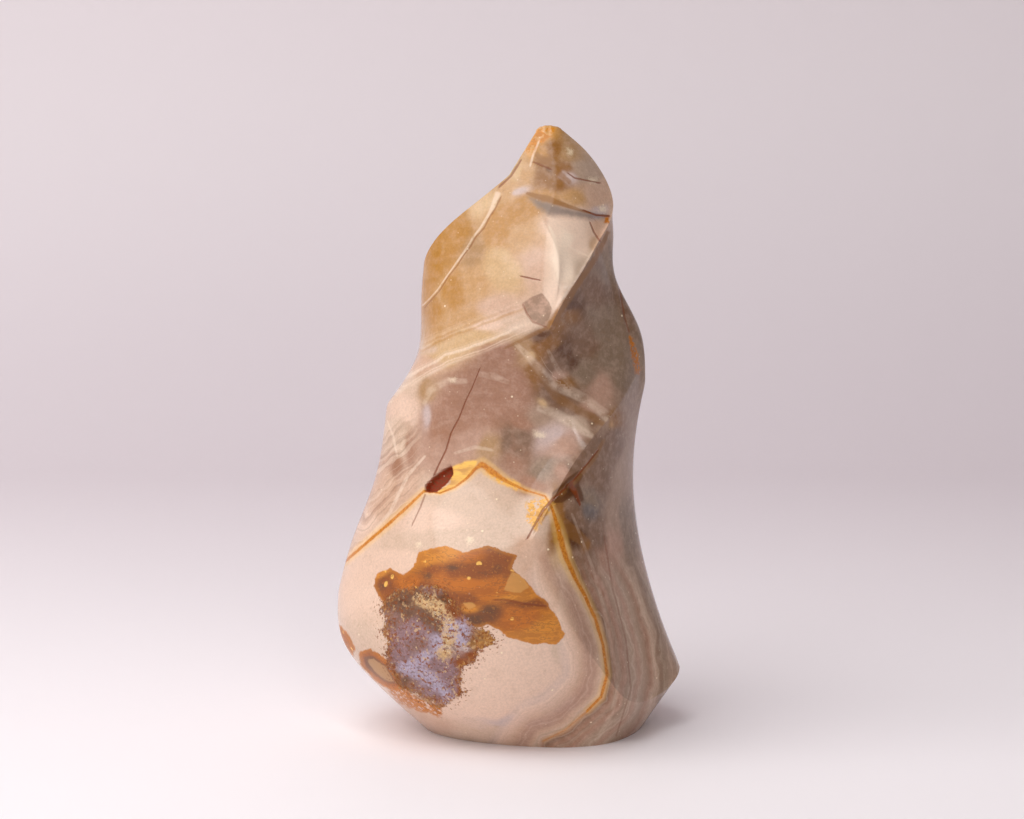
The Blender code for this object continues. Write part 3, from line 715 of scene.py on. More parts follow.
def banding_strength(places, shell, facing):
    """How plainly fine bands show: most on the left edge and behind, least on the belly."""
    across, down = places[:, 0], places[:, 1]
    left = BANDS_LEFT * ease(-across, -432, -400) * ease(down, 400, 440) * ease(shell, 0, 4)
    flute = BANDS_FLUTE * ease(shell, 0, 20)
    behind = BANDS_BEHIND * ease(-facing, 0.0, 0.3)
    return np.clip(np.maximum.reduce([left, flute, behind, np.full(len(shell), BANDS_LEAST)]), 0, 1)


def flank_share(places, shell, facing):
    """Where the strata beside the vein are seen: the right flank, from its narrow top to the foot."""
    across, down = places[:, 0], places[:, 1]
    right = ease(across + 0.35 * down, 722, 742) * ease(down, 540, 590)
    return np.clip(right * ease(shell, -48, -34) * ease(facing, -0.35, -0.1), 0, 1)


# Materials.

class Nodes:
    """Adds nodes to one tree and links each to what feeds it."""

    def __init__(self, tree):
        self.tree = tree

    def feed(self, socket, value):
        if isinstance(value, bpy.types.NodeSocket):
            self.tree.links.new(value, socket)
        else:
            socket.default_value = value

    def add(self, kind, given=(), output=0, **settings):
        """Make a node, feed its inputs, and give back the one output that is wanted."""
        node = self.tree.nodes.new(kind)
        for name, value in settings.items():
            setattr(node, name, value)
        for name, value in dict(given).items():
            self.feed(node.inputs[name], value)
        return node.outputs[output]

    def stored(self, name, output="Fac"):
        return self.add("ShaderNodeAttribute", {}, output, attribute_name=name)

    def place(self):
        return self.add("ShaderNodeTexCoord", {}, "Object")

    def math(self, operation, first, second=0.0, third=0.0):
        return self.add("ShaderNodeMath", {0: first, 1: second, 2: third}, operation=operation)

    def times(self, first, second):
        return self.math("MULTIPLY", first, second)

    def plus(self, first, second):
        return self.math("ADD", first, second)

    def squeeze(self, place, factors):
        """Places drawn out or pressed together along each axis."""
        return self.add("ShaderNodeVectorMath", {0: place, 1: factors}, operation="MULTIPLY")

    def noise(self, place, scale, detail=2.0, roughness=0.5):
        given = {"Vector": place, "Scale": scale, "Detail": detail, "Roughness": roughness}
        return self.add("ShaderNodeTexNoise", given, "Fac", noise_dimensions="3D")

    def strata(self, along, scale, detail):
        """Bands that change along one value only."""
        given = {"W": along, "Scale": scale, "Detail": detail}
        return self.add("ShaderNodeTexNoise", given, "Fac", noise_dimensions="1D")

    def cells(self, place, scale):
        """For small cells, how far their middle is and a colour of each cell's own."""
        gap = self.add("ShaderNodeTexVoronoi", {"Vector": place, "Scale": scale}, "Distance", feature="F1")
        return gap, gap.node.outputs["Color"]

    def parts(self, kind, value):
        """The three parts of a colour ("Color") or of a place ("XYZ")."""
        return self.add("ShaderNodeSeparate" + kind, {0: value}).node.outputs

    def ease(self, value, low, high, bottom=0.0, top=1.0, rise="SMOOTHSTEP"):
        given = {"Value": value, "From Min": low, "From Max": high, "To Min": bottom, "To Max": top}
        return self.add("ShaderNodeMapRange", given, "Result", interpolation_type=rise, clamp=True)

    def mix(self, share, below, above, blend="MIX"):
        """One colour over another, each of them plain or linked."""
        given = {0: share, 6: opaque(below), 7: opaque(above)}
        return self.add("ShaderNodeMix", given, 2, data_type="RGBA", blend_type=blend)

    def tint(self, colour, share, strength, over):
        """A colour laid over another, by a share from 0 to 1 and a strength."""
        return self.mix(self.times(share, strength), colour, over)

    def shade(self, colour, value):
        """A colour made darker or lighter by one value."""
        grey = self.add("ShaderNodeCombineColor", {k: value for k in range(3)})
        return self.mix(1.0, colour, grey, "MULTIPLY")

    def blend(self, share, below, above):
        return self.add("ShaderNodeMix", {0: share, 2: below, 3: above}, data_type="FLOAT")

    def patch(self, name, rough, reach, soft):
        """A share from 0 to 1 that fills a stored outline, with an uneven edge."""
        shifted = self.math("MULTIPLY_ADD", rough, reach, -reach / 2)
        return self.ease(self.plus(self.stored(name), shifted), -soft, soft)

    def line(self, name, rough):
        """A share from 0 to 1 along the stored drawn lines, thinned and thickened by noise."""
        parts = self.parts("XYZ", self.stored(name, "Vector"))
        side = self.plus(self.math("ABSOLUTE", parts[0]), self.math("MULTIPLY_ADD", rough, 1.0, -0.5))
        return self.times(self.ease(side, 1.5, 0.5), parts[1])

    def halo(self, name, widths):
        """A soft share from 0 to 1 beside the stored drawn lines, out to so many half widths."""
        parts = self.parts("XYZ", self.stored(name, "Vector"))
        return self.times(self.ease(self.math("ABSOLUTE", parts[0]), widths, 0.5), parts[1])

    def finish(self, surface, colour, roughness, height, strength, depth):
        """Colour, roughness and relief of a shader, the relief at most so many millimetres deep."""
        relief = self.add("ShaderNodeBump", {"Strength": strength, "Distance": depth * MM, "Height": height})
        for name, value in (("Base Color", colour), ("Roughness", roughness), ("Normal", relief)):
            self.feed(surface.inputs[name], value)


def new_material(name):
    """A node material with a bare shader, and a way to add to it."""
    material = bpy.data.materials.new(name)
    material.use_nodes = True
    return material, Nodes(material.node_tree), material.node_tree.nodes["Principled BSDF"]


def opaque(colour):
    """A plain colour with its fourth part; a linked one stays as it is."""
    return colour if isinstance(colour, bpy.types.NodeSocket) else tuple(colour) + (1.0,)


def jasper_material(look):
    """Polished jasper: body tones and bands, stains, the druse, drawn cracks and veins, and quartz specks."""
    material, nodes, surface = new_material("polished_jasper")
    place = nodes.place()
    drift, edge = nodes.noise(place, 150, 2), nodes.noise(place, 620, 3, 0.6)
    grain = nodes.noise(place, 2400, 3, 0.65)

    colour = banded_body(nodes, look, drift, edge, grain)
    colour, stain = stained(nodes, look, colour, place, edge, grain)
    colour, druse = crystal_bed(nodes, look, colour, place, edge, grain)
    colour, cracks, pit = cracked(nodes, look, colour, drift, edge, grain)
    colour = quartz_specks(nodes, look, colour, place, nodes.math("MAXIMUM", druse, stain))

    gloss = look.polish
    for share, roughness in ((stain, STAIN_ROUGHNESS), (druse, DRUSE_ROUGHNESS), (pit, PIT_ROUGHNESS)):
        gloss = nodes.blend(share, gloss, roughness)
    gloss = nodes.plus(gloss, nodes.ease(drift, 0.3, 0.7, -0.02, 0.03))
    surface.inputs["IOR"].default_value = JASPER_IOR

    relief = nodes.times(druse, nodes.plus(grain, edge))
    for height, amount in ((nodes.times(stain, grain), 0.25), (cracks, -0.7), (drift, 0.5)):
        relief = nodes.plus(relief, nodes.times(height, amount))
    nodes.finish(surface, colour, gloss, relief, 0.6, 0.25)
    return material


def banded_body(nodes, look, drift, edge, grain):
    """The body tones, with strata beside the vein and streaks over the middle ridge."""
    shell, flank, near = nodes.stored("shell"), nodes.stored("flank"), nodes.stored("streaked")
    wander = nodes.math("MULTIPLY_ADD", drift, BAND_WANDER, -BAND_WANDER / 2)
    beside = nodes.plus(nodes.plus(shell, nodes.times(wander, 0.35)), nodes.times(edge, 1.4))
    tone = nodes.tint(nodes.stored("body_tone", "Color"), flank, 0.85, strata_ramp(nodes, look, beside))

    along = nodes.plus(nodes.plus(shell, wander), nodes.times(edge, 1.6))
    broad, thin = nodes.strata(along, 0.075, 1.0), nodes.strata(along, 0.26, 1.5)
    bands = nodes.times(nodes.stored("banding"), look.band_strength)
    lines = nodes.math("MAXIMUM", bands, nodes.times(flank, 0.35))
    rise = nodes.plus(nodes.stored("rise"), nodes.times(wander, 0.45))
    streaks = nodes.strata(nodes.plus(rise, nodes.times(edge, 1.5)), 0.13, 2.0)
    # Which noise, where in it the band starts and is full, where it shows, how strong, and its colour.
    for layer, start, full, where, strength, over in (
            (broad, 0.54, 0.68, bands, 0.6, look.mauve), (broad, 0.46, 0.34, bands, 0.55, look.cream),
            (thin, 0.55, 0.66, lines, 0.4, look.cream), (thin, 0.45, 0.34, lines, 0.4, look.bark),
            (streaks, 0.5, 0.66, near, 0.55, look.cream), (streaks, 0.48, 0.34, near, 0.5, look.honey)):
        tone = nodes.tint(tone, nodes.times(nodes.ease(layer, start, full), where), strength, over)

    tone = nodes.tint(tone, nodes.ease(edge, 0.42, 0.7), 0.15, look.blush)
    tone = nodes.tint(tone, nodes.ease(edge, 0.45, 0.3), 0.1, look.umber)
    return nodes.shade(tone, nodes.ease(grain, 0.3, 0.7, 0.92, 1.06))


def strata_ramp(nodes, look, beside):
    """The named strata as one run of colours over the distance from the vein."""
    low, high = FLANK_STRATA[0][0], FLANK_STRATA[-1][0]
    colours = nodes.add("ShaderNodeValToRGB", {0: nodes.ease(beside, low, high, rise="LINEAR")}, "Color")
    stops = colours.node.color_ramp.elements
    while len(stops) < len(FLANK_STRATA):
        stops.new(0.5)
    for stop, (distance, name) in zip(stops, FLANK_STRATA):
        stop.position = (distance - low) / (high - low)
        stop.color = opaque(getattr(look, name))
    return colours


def laid_patches(nodes, colour, patches):
    """Stored patches laid over a colour in turn, each by edge noise, reach, softness, strength, colour."""
    for name, rough, reach, soft, strength, over in patches:
        colour = nodes.tint(colour, nodes.patch(name, rough, reach, soft), strength, over)
    return colour


def stained(nodes, look, colour, place, edge, grain):
    """The seams and chip of the ridges, the stain over the belly, and the marks round it."""
    broken = nodes.mix(nodes.ease(edge, 0.35, 0.6), look.clay, look.taupe)
    colour = laid_patches(nodes, colour, (
        # the pale face's cream is partly painted sheen
        ("facet", edge, 3.0, 2.0, 0.3, look.cream), ("chip", edge, 2.0, 0.8, 0.7, broken),
        ("slate", edge, 6.0, 4.0, 0.75, look.slate), ("triangle", edge, 3.0, 1.5, 0.6, look.umber)))

    field = nodes.stored("stain")
    worn = nodes.ease(nodes.plus(field, nodes.times(grain, 6.0)), 1.6, 3.0)
    stain = nodes.times(nodes.patch("stain", edge, 7.0, 0.8), worn)
    flow = nodes.noise(nodes.squeeze(place, (1.0, 1.0, 3.2)), 200, 4, 0.6)
    thread = nodes.math("ABSOLUTE", nodes.math("SUBTRACT", flow, 0.45))
    tone = nodes.stored("stain_tone", "Color")
    for layer, start, full, strength, over in (
            (flow, 0.48, 0.58, 0.42, look.rust), (thread, 0.03, 0.0, 0.45, look.bark),
            (grain, 0.56, 0.7, 0.4, look.amber), (field, 5.0, 0.5, 0.35, look.amber)):
        tone = nodes.tint(tone, nodes.ease(layer, start, full), strength, over)
    colour = nodes.tint(colour, stain, 0.96, tone)

    pale = nodes.times(nodes.patch("pale", edge, 3.0, 1.0), stain)
    colour = nodes.tint(colour, pale, 0.7, look.apricot)
    lump, _ = nodes.cells(place, 300)
    nugget = nodes.times(nodes.ease(lump, 0.2, 0.14), nodes.ease(flow, 0.5, 0.44))
    colour = nodes.tint(colour, nodes.times(nugget, stain), 0.8, look.gold)
    yolk = nodes.mix(nodes.ease(flow, 0.42, 0.62), look.gold, look.apricot)
    colour = laid_patches(nodes, colour, (
        ("gold", edge, 3.0, 1.6, 0.95, yolk), ("brown", edge, 5.0, 1.2, 0.85, look.bark),
        ("oval", edge, 3.0, 0.9, 0.7, look.cocoa), ("heart", edge, 4.0, 0.9, 0.75, look.sand),
        # the flecks include two painted glints on the shoulder over the belly
        ("flecks", grain, 7.0, 2.6, 0.55, look.quartz)))
    grains = nodes.ease(nodes.noise(place, 1100, 3, 0.6), 0.38, 0.5)
    return nodes.mix(nodes.times(nodes.patch("dust", edge, 8.0, 2.0), grains), colour, tone), stain


def crystal_bed(nodes, look, colour, place, edge, grain):
    """The druse: a bed of tiny crystals in cocoa, lavender and rust."""
    rough = nodes.blend(0.5, edge, grain)
    gap, cell = nodes.cells(place, 2000)
    first, second, third = nodes.parts("Color", cell)
    field = nodes.stored("druse")
    tone = nodes.shade(nodes.stored("druse_tone", "Color"), nodes.ease(gap, 0.1, 0.7, 1.08, 0.84))
    rimmed = nodes.mix(nodes.ease(grain, 0.45, 0.6), look.rust, look.honey)
    for share, where, strength, over in (
            (nodes.ease(first, 0.4, 0.6), nodes.patch("clumps", rough, 26.0, 3.0), 0.7, look.grit),
            (nodes.ease(second, 0.8, 0.88), nodes.ease(edge, 0.45, 0.6), 0.6, look.grit),
            (nodes.ease(first, 0.3, 0.2), nodes.ease(edge, 0.56, 0.44), 0.5, look.cocoa),
            (nodes.ease(field, 8.0, 1.0), nodes.ease(third, 0.25, 0.45), 0.75, rimmed)):
        tone = nodes.tint(tone, nodes.times(share, where), strength, over)
    druse = nodes.patch("druse", rough, 22.0, 0.9)
    colour = nodes.mix(druse, colour, tone)

    halo = nodes.ease(field, -20.0, -1.0)
    flecks = nodes.ease(nodes.plus(nodes.noise(place, 1500, 3, 0.6), nodes.times(halo, 0.13)), 0.69, 0.73)
    return nodes.tint(colour, nodes.times(flecks, halo), 0.8, look.rust), druse


def cracked(nodes, look, colour, drift, edge, grain):
    """The drawn lines in turn: pale and brown bands, with painted ridge highlights among the pale ones, the
    golden vein, rust, cracks and the dark pit.
    """
    # the pale lines hold painted highlights on two ridges
    pale = nodes.times(nodes.line("pale_lines", edge), nodes.ease(edge, 0.3, 0.55, 0.35, 1.0))
    brown = nodes.times(nodes.line("brown_lines", edge), nodes.ease(drift, 0.3, 0.5, 0.6, 1.0))
    mottle = nodes.ease(grain, 0.4, 0.6)
    golden, blood = nodes.mix(mottle, look.ochre, look.amber), nodes.mix(mottle, look.oxblood, look.liver)
    cracks = nodes.math("MAXIMUM", nodes.line("cracks", edge), nodes.line("fissures", edge))
    pit = nodes.patch("blood", edge, 2.0, 0.8)
    for share, strength, over in (
            (pale, 0.85, look.cream), (nodes.halo("gold_lines", 5.0), 0.4, look.gold),
            (nodes.line("gold_lines", edge), 0.9, golden), (brown, 1.0, look.umber),
            (nodes.line("rusty_lines", grain), 1.0, look.liver), (cracks, 0.85, look.liver),
            (pit, 1.0, blood)):
        colour = nodes.tint(colour, share, strength, over)
    return colour, cracks, pit


def quartz_specks(nodes, look, colour, place, covered):
    """Fine pale quartz grains through the whole stone."""
    bare = nodes.math("SUBTRACT", 1.0, nodes.times(covered, 0.85))
    for scale, size, rarity, strength in SPECKS:
        gap, cell = nodes.cells(place, scale)
        chosen = nodes.ease(nodes.parts("Color", cell)[2], rarity, rarity + 0.05)
        speck = nodes.times(nodes.times(nodes.ease(gap, size, size * 0.5), chosen), bare)
        colour = nodes.tint(colour, speck, look.speck_strength * strength, look.quartz)
    return colour


def grit_material(name, colour, tips):
    """Small loose-looking crystals, dusty in patches and lighter in others."""
    material, nodes, surface = new_material(name)
    place = nodes.place()
    dust = nodes.noise(place, 6000, 2)
    hue = nodes.mix(nodes.ease(nodes.noise(place, 1200, 2), 0.42, 0.6), colour, tips)
    hue = nodes.tint(hue, nodes.ease(dust, 0.5, 0.65), 0.3, [c * DUST_SHADE for c in colour])
    surface.inputs["IOR"].default_value = CRYSTAL_IOR
    nodes.finish(surface, hue, nodes.ease(dust, 0.35, 0.65, 0.3, 0.5), dust, 0.3, 0.05)
    return material


def paper_material(look):
    """Matt studio paper with the faintest fibre, painted darker towards the bend and on the wall as painted
    shade of the light falling off.
    """
    material, nodes, surface = new_material("studio_paper")
    place = nodes.place()
    _, behind, above = nodes.parts("XYZ", place)
    # painted shade: the floor grows darker towards the bend, and the wall is darker than the front paper
    away = nodes.ease(behind, -0.06, look.bend_at - 0.3 * look.bend_radius)
    colour = nodes.mix(away, look.paper, look.far_paper_shade)
    colour = nodes.mix(nodes.ease(above, 0.0, look.bend_radius), colour, look.wall_paper_shade)
    colour = nodes.shade(colour, nodes.ease(nodes.noise(place, 3, 2), 0.35, 0.65, 0.985, 1.0))
    fibre = nodes.noise(place, 900, 2)
    nodes.finish(surface, colour, nodes.ease(fibre, 0.3, 0.7, 0.6, 0.7), fibre, 0.05, 0.1)
    return material


# Making the pieces.

def make_stone(look):
    stone = show(bpy.data.objects.new("jasper_stone", stone_skin(look.detail)))
    thin_behind(stone, look.triangles)
    mesh = stone.data
    points, normals = point_array(mesh, "co") / MM, point_array(mesh, "normal")
    places, facing = frame_places(points), facing_view(points, normals)
    mark_skin(mesh, points, places, facing, look)
    low, high = points.min(axis=0), points.max(axis=0)
    middle = np.array([(low[0] + high[0]) / 2, (low[1] + high[1]) / 2, low[2]])
    size = (CAD_BOX[1].z - CAD_BOX[0].z) / (high[2] - low[2])
    sunk = points - normals * sink_skin(points, normals, places, facing, look)[:, None]
    mesh.vertices.foreach_set("co", ((sunk - middle) * size).ravel())
    for polygon in mesh.polygons:
        polygon.use_smooth = True
    mesh.set_sharp_from_angle(angle=SHARP_OVER)
    mesh.materials.clear()
    mesh.materials.append(jasper_material(look))
    mesh.update()
    return stone


def grit_tree(name):
    """Scatters small crystals over a surface, as thickly as one of its stored values says."""
    tree = bpy.data.node_groups.new(name, "GeometryNodeTree")
    for label, kind in (("Surface", "Geometry"), ("Crystals per square metre", "Float"),
                        ("Crystal size", "Float"), ("Seed", "Int"), ("Finish", "Material")):
        tree.interface.new_socket(name=label, in_out="INPUT", socket_type="NodeSocket" + kind)
    tree.interface.new_socket(name="Crystals", in_out="OUTPUT", socket_type="NodeSocketGeometry")
    nodes = Nodes(tree)
    given = nodes.add("NodeGroupInput").node.outputs
    stored = nodes.add("GeometryNodeInputNamedAttribute", {"Name": name}, "Attribute", data_type="FLOAT")
    thick = nodes.times(stored, given["Crystals per square metre"])
    places = nodes.add("GeometryNodeDistributePointsOnFaces",
                       {"Mesh": given["Surface"], "Density": thick, "Seed": given["Seed"]}, "Points",
                       distribute_method="RANDOM")
    crystal = nodes.add("GeometryNodeMeshIcoSphere",
                        {"Subdivisions": 1, "Radius": given["Crystal size"]}, "Mesh")
    turn, stretch = [nodes.add("FunctionNodeRandomValue", {0: low, 1: high, "Seed": given["Seed"]},
                               data_type="FLOAT_VECTOR") for low, high in (CRYSTAL_TURNS, CRYSTAL_SHAPES)]
    put = nodes.add("GeometryNodeInstanceOnPoints",
                    {"Points": places, "Instance": crystal, "Rotation": turn, "Scale": stretch})
    real = nodes.add("GeometryNodeRealizeInstances", {0: put})
    finished = nodes.add("GeometryNodeSetMaterial", {"Geometry": real, "Material": given["Finish"]})
    nodes.feed(tree.nodes.new("NodeGroupOutput").inputs[0], finished)
    return tree


def grit_bed(stone, name, thickness):
    """A copy of the part of the skin that crystals stand on, with how thickly they stand."""
    mesh = stone.data
    chosen = set(np.nonzero(thickness > 0.01)[0].tolist())
    faces = [tuple(p.vertices) for p in mesh.polygons if all(v in chosen for v in p.vertices)]
    used = sorted({v for face in faces for v in face})
    order = {v: k for k, v in enumerate(used)}
    bed = bpy.data.meshes.new(name)
    corners = [mesh.vertices[v].co for v in used]
    bed.from_pydata(corners, [], [tuple(order[v] for v in face) for face in faces])
    store(bed, name, "FLOAT", thickness[used])
    return show(bpy.data.objects.new(name, bed))


def make_grit(stone, look, name, finish, thickness, density):
    """Crystals of one finish, as thick on the stone as the values given."""
    bed = grit_bed(stone, name, thickness)
    tree = grit_tree(name)
    grow = bed.modifiers.new("crystals", "NODES")
    grow.node_group = tree
    values = {"Crystals per square metre": density, "Crystal size": look.size, "Seed": look.seed,
              "Finish": finish}
    for socket in tree.interface.items_tree:
        if socket.in_out == "INPUT" and socket.name in values:
            grow[socket.identifier] = values[socket.name]
    crystals = skin_of(bed, name)
    bed.modifiers.clear()
    bed.data = crystals
    crystals.materials.clear()
    crystals.materials.append(finish)
    crystals.polygons.foreach_set("material_index", np.zeros(len(crystals.polygons), dtype=np.int32))
    return bed


def sweep_mesh(look):
    """Floor and backdrop in one: flat, then a soft bend up to an upright wall."""
    profile = [(-look.sweep_reach, 0.0), (look.bend_at - look.bend_radius, 0.0)]
    for k in range(1, BEND_STEPS + 1):
        turn = pi / 2 * k / BEND_STEPS
        profile.append((look.bend_at - look.bend_radius + look.bend_radius * sin(turn),
                        look.bend_radius * (1 - cos(turn))))
    profile.append((look.bend_at, look.sweep_reach))
    half = look.sweep_reach
    points = [(side, y, z) for y, z in profile for side in (-half, half)]
    faces = [(2 * k, 2 * k + 1, 2 * k + 3, 2 * k + 2) for k in range(len(profile) - 1)]
    mesh = bpy.data.meshes.new("studio_sweep")
    mesh.from_pydata(points, [], faces)
    for polygon in mesh.polygons:
        polygon.use_smooth = True
    return mesh


def soft_light(name, place, aim, width, height, power):
    lamp = bpy.data.lights.new(name, "AREA")
    lamp.shape = "RECTANGLE"
    lamp.size, lamp.size_y = width, height
    lamp.energy = power
    lamp.color = LIGHT_COLOUR
    thing = show(bpy.data.objects.new(name, lamp))
    thing.location = place
    thing.rotation_euler = (Vector(aim) - Vector(place)).to_track_quat("-Z", "Y").to_euler()


def make_camera(look):
    eye, forward, _ = view_axes()
    shift = np.array([look.middle_x, look.middle_y, 0.0])
    data = bpy.data.cameras.new("studio_camera")
    data.sensor_width = SENSOR_WIDE
    data.lens = VIEW_SCALE * VIEW_DISTANCE / FRAME_WIDE * SENSOR_WIDE
    data.clip_start, data.clip_end = 0.01, 20.0
    camera = show(bpy.data.objects.new("studio_camera", data))
    camera.location = Vector((eye * MM - shift).tolist())
    camera.rotation_euler = Vector(forward.tolist()).to_track_quat("-Z", "Y").to_euler()
    bpy.context.scene.camera = camera


# Settings a user would change.

def colour_setting(name, description, colour):
    return bpy.props.FloatVectorProperty(name=name, description=description, default=paint(*colour),
                                         subtype="COLOR", size=3, min=0.0, max=1.0)


def number_setting(name, description, value, **limits):
    return bpy.props.FloatProperty(name=name, description=description, default=value, **limits)


def power_setting(name, description, value):
    return number_setting(name, description, value, min=0.0, subtype="POWER")


def share_setting(name, description, value):
    return number_setting(name, description, value, min=0.0, max=1.0, subtype="FACTOR")


def length_setting(name, description, value):
    return number_setting(name, description, value, subtype="DISTANCE", unit="LENGTH", precision=5)


class JASPER_PG_stone(bpy.types.PropertyGroup):
    """Shape and colours of the stone."""
    detail: bpy.props.IntProperty(name="Detail", description="Rounds of smoothing of the skin", default=5,
                                  min=3, max=5)
    triangles: bpy.props.IntProperty(name="Triangles", description="Most triangles in the stone",
                                     default=188000)
    hollow_depth: length_setting("Druse depth", "How deep the crystal hollow lies", 0.7 * MM)
    pit_depth: length_setting("Pit depth", "How deep the dark pit is", 1.3 * MM)
    tone_drift: number_setting("Tone drift", "How far the tones wander", 9.0)
    polish: share_setting("Polish", "Roughness of the polish", 0.13)
    band_strength: share_setting("Bands", "Strength of the strata", 0.8)
    speck_strength: share_setting("Specks", "Strength of the quartz specks", 1.0)
    cream: colour_setting("Cream", "Palest bands", (242, 219, 196))
    blush: colour_setting("Blush", "Pink of the belly", (228, 196, 174))
    oat: colour_setting("Oat", "Pale shoulder over the belly", (212, 183, 160))
    rose: colour_setting("Rose", "Deeper pink", (205, 168, 143))
    wheat: colour_setting("Wheat", "Pale yellow tan", (206, 170, 126))
    sand: colour_setting("Sand", "Warm tan", (194, 150, 102))
    honey: colour_setting("Honey", "Ochre of the upper left", (180, 128, 62))
    apricot: colour_setting("Apricot", "Light orange tan of the tip", (208, 152, 82))
    umber: colour_setting("Umber", "Brown under the tip", (144, 96, 44))
    drab: colour_setting("Drab", "Olive tan", (176, 138, 98))
    clay: colour_setting("Clay", "Pinkish grey", (184, 145, 124))
    ash: colour_setting("Ash", "Pale grey", (184, 157, 136))
    putty: colour_setting("Putty", "Middle grey brown", (168, 138, 116))
    mauve: colour_setting("Mauve", "Middle of the flute", (166, 122, 98))
    mist: colour_setting("Mist", "Pale cool cloud", (200, 178, 172))
    dove: colour_setting("Dove", "Cool grey brown", (142, 119, 99))
    taupe: colour_setting("Taupe", "Brown grey of the right side", (130, 98, 76))
    slate: colour_setting("Slate", "Blue grey seam", (112, 102, 98))
    bark: colour_setting("Bark", "Dark brown bands", (92, 54, 26))
    amber: colour_setting("Amber", "Light part of the stain", (208, 132, 34))
    ochre: colour_setting("Ochre", "Middle of the stain", (186, 102, 8))
    rust: colour_setting("Rust", "Dark part of the stain", (134, 66, 6))
    gold: colour_setting("Gold", "Yellow lens by the pit", (250, 196, 96))
    cocoa: colour_setting("Cocoa", "Darkest druse", (116, 80, 58))
    dusk: colour_setting("Dusk", "Brown mauve druse", (142, 106, 96))
    lavender: colour_setting("Lavender", "Blue druse", (180, 166, 184))
    violet: colour_setting("Violet", "Purple druse", (150, 118, 120))
    grit: colour_setting("Grit", "Tan crystals", (212, 174, 124))
    liver: colour_setting("Liver", "Cracks", (124, 58, 22))
    oxblood: colour_setting("Oxblood", "Inside of the pit", (146, 44, 0))
    quartz: colour_setting("Quartz", "Fine specks", (248, 228, 196))


class JASPER_PG_grit(bpy.types.PropertyGroup):
    """Crystals that stand in the druse."""
    size: length_setting("Crystal size", "Half length of the larger crystals", 0.22 * MM)
    tan_density: number_setting("Tan crystals", "Per square metre", 2.6e6)
    rust_density: number_setting("Rust crystals", "Per square metre", 2.0e6)
    seed: bpy.props.IntProperty(name="Seed", description="Which scatter is used", default=7)
    tan: colour_setting("Tan", "Tan crystals", (196, 158, 112))
    tan_tips: colour_setting("Tan tips", "Lighter tan crystals", (226, 204, 172))
    rust: colour_setting("Rust", "Rust crystals", (132, 74, 36))
    rust_tips: colour_setting("Rust tips", "Lighter rust crystals", (196, 132, 72))


class JASPER_PG_stage(bpy.types.PropertyGroup):
    """Camera, paper sweep and soft light."""
    middle_x: length_setting("Middle x", "Centre of the cage's box", 0.05 * MM)
    middle_y: length_setting("Middle y", "Centre of the cage's box", -1.96 * MM)
    sweep_reach: length_setting("Sweep reach", "Half width of the paper and height of the wall", 1.6)
    bend_at: length_setting("Wall", "How far behind the stone the wall stands", 0.38)
    bend_radius: length_setting("Bend", "Radius of the bend", 0.12)
    paper: colour_setting("Paper", "Floor in front of the stone", (249, 244, 247))
    # painted shade: the far floor and the wall are given darker paper than the front
    far_paper_shade: colour_setting("Far paper", "Floor where it starts to rise", (222, 212, 217))
    wall_paper_shade: colour_setting("Wall paper", "Upright part of the paper", (230, 222, 225))
    key_power: power_setting("Key light", "Power of the large box at the upper left", 5.4)
    side_power: power_setting("Side light", "Power of the low box at the left", 1.0)
    front_power: power_setting("Front light", "Power of the wide box in front", 4.5)
    strip_power: power_setting("Strip light", "Power of the narrow strip", 0.3)
    ambient: number_setting("Ambient", "Strength of the room's light", 0.11)
    room: colour_setting("Room", "Colour of the room's light", (245, 236, 240))


# Operators.

class JASPER_OT_stone(bpy.types.Operator):
    """Make the polished stone with all its markings"""
    bl_idname = "object.jasper_stone"
    bl_label = "Jasper Stone"

    def execute(self, context):
        stone = make_stone(context.scene.jasper_stone)
        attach(stone, "root")
        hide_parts("flame_stone")
        return {"FINISHED"}


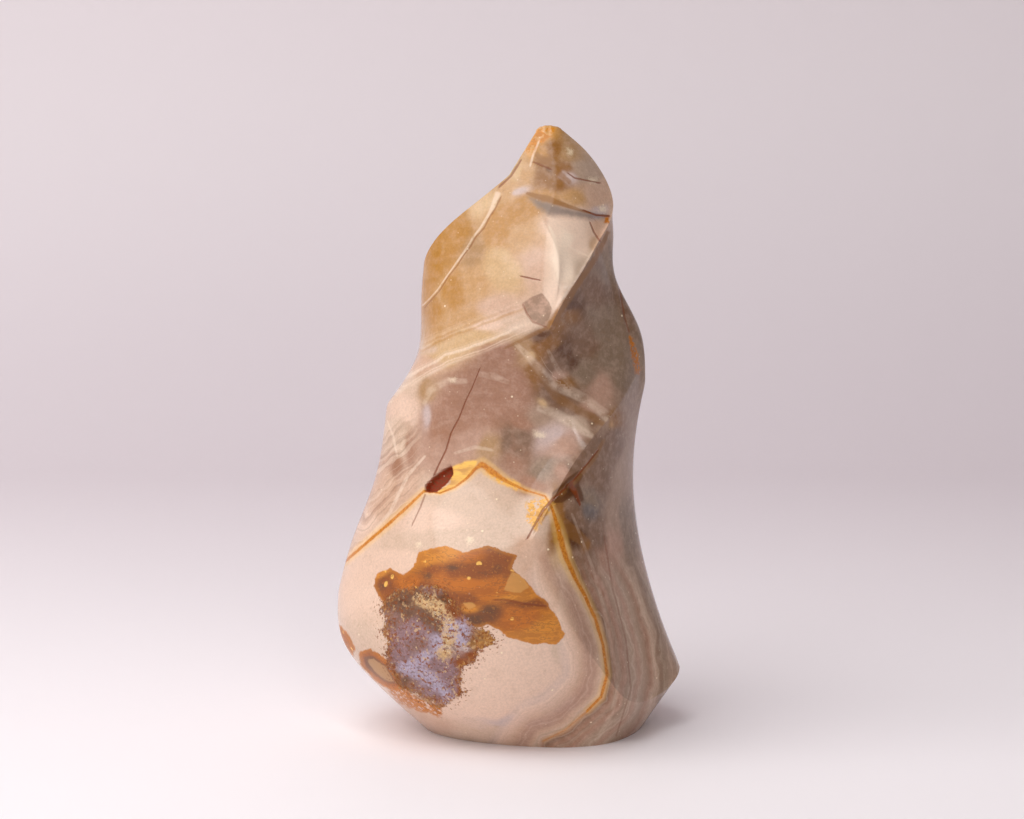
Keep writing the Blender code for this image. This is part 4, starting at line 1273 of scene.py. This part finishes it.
class JASPER_OT_grit(bpy.types.Operator):
    """Scatter tan and rust crystals over the druse"""
    bl_idname = "object.jasper_grit"
    bl_label = "Crystal Grit"

    def execute(self, context):
        stone = bpy.data.objects.get("jasper_stone")
        if stone is None:
            raise RuntimeError("make the stone before its crystals")
        look = context.scene.jasper_grit
        bed, clumps = stored_values(stone.data, "druse"), stored_values(stone.data, "clumps")
        points = point_array(stone.data, "co") / MM
        patches = ease(clumps + 5 * soft_noise(points, 1.6, 8), -1.0, 3.5)
        spread = 0.15 * ease(soft_noise(points, 2.2, 10), 0.1, 0.4)
        inner = ease(bed, 0.0, 3.0) * np.maximum(patches, spread)
        rim = ease(bed, -5.0, -1.0) * ease(-bed, -7.0, -2.0) * ease(soft_noise(points, 1.8, 9), -0.1, 0.4)
        for tone, thickness in (("tan", inner), ("rust", rim)):
            finish = grit_material(tone + "_crystal", getattr(look, tone), getattr(look, tone + "_tips"))
            density = getattr(look, tone + "_density")
            crystals = make_grit(stone, look, tone + "_crystals", finish, thickness, density)
            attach(crystals, "root")
        return {"FINISHED"}


class JASPER_OT_stage(bpy.types.Operator):
    """Set up the paper sweep, the soft light and the camera"""
    bl_idname = "scene.jasper_stage"
    bl_label = "Studio Stage"

    def execute(self, context):
        look = context.scene.jasper_stage
        sweep = show(bpy.data.objects.new("studio_sweep", sweep_mesh(look)))
        sweep.data.materials.append(paper_material(look))
        for name, (place, aim, width, height, power) in LIGHTS.items():
            soft_light(name, place, aim, width, height, getattr(look, power))
        world = bpy.data.worlds.new("studio_room")
        world.use_nodes = True
        room = world.node_tree.nodes["Background"]
        room.inputs["Color"].default_value = opaque(look.room)
        room.inputs["Strength"].default_value = look.ambient
        context.scene.world = world
        context.scene.view_settings.view_transform = "Standard"
        make_camera(look)
        return {"FINISHED"}


class JASPER_PT_panel(bpy.types.Panel):
    """The stone, its crystals and the stage"""
    bl_idname = "JASPER_PT_panel"
    bl_label = "Jasper Flame"
    bl_space_type = "VIEW_3D"
    bl_region_type = "UI"
    bl_category = "Jasper Flame"

    def draw(self, context):
        for operator, group in ((JASPER_OT_stone, "jasper_stone"), (JASPER_OT_grit, "jasper_grit"),
                                (JASPER_OT_stage, "jasper_stage")):
            box = self.layout.box()
            box.operator(operator.bl_idname)
            settings = getattr(context.scene, group)
            for name in settings.__annotations__:
                box.prop(settings, name)


GROUPS = {"jasper_stone": JASPER_PG_stone, "jasper_grit": JASPER_PG_grit, "jasper_stage": JASPER_PG_stage}
CLASSES = (*GROUPS.values(), JASPER_OT_stone, JASPER_OT_grit, JASPER_OT_stage, JASPER_PT_panel)


def register():
    for made in CLASSES:
        bpy.utils.register_class(made)
    for name, group in GROUPS.items():
        setattr(bpy.types.Scene, name, bpy.props.PointerProperty(type=group))


def unregister():
    for name in GROUPS:
        delattr(bpy.types.Scene, name)
    for made in reversed(CLASSES):
        bpy.utils.unregister_class(made)


def main():
    register()
    bpy.ops.object.jasper_stone()
    bpy.ops.object.jasper_grit()
    bpy.ops.scene.jasper_stage()


if __name__ == "__main__":
    main()
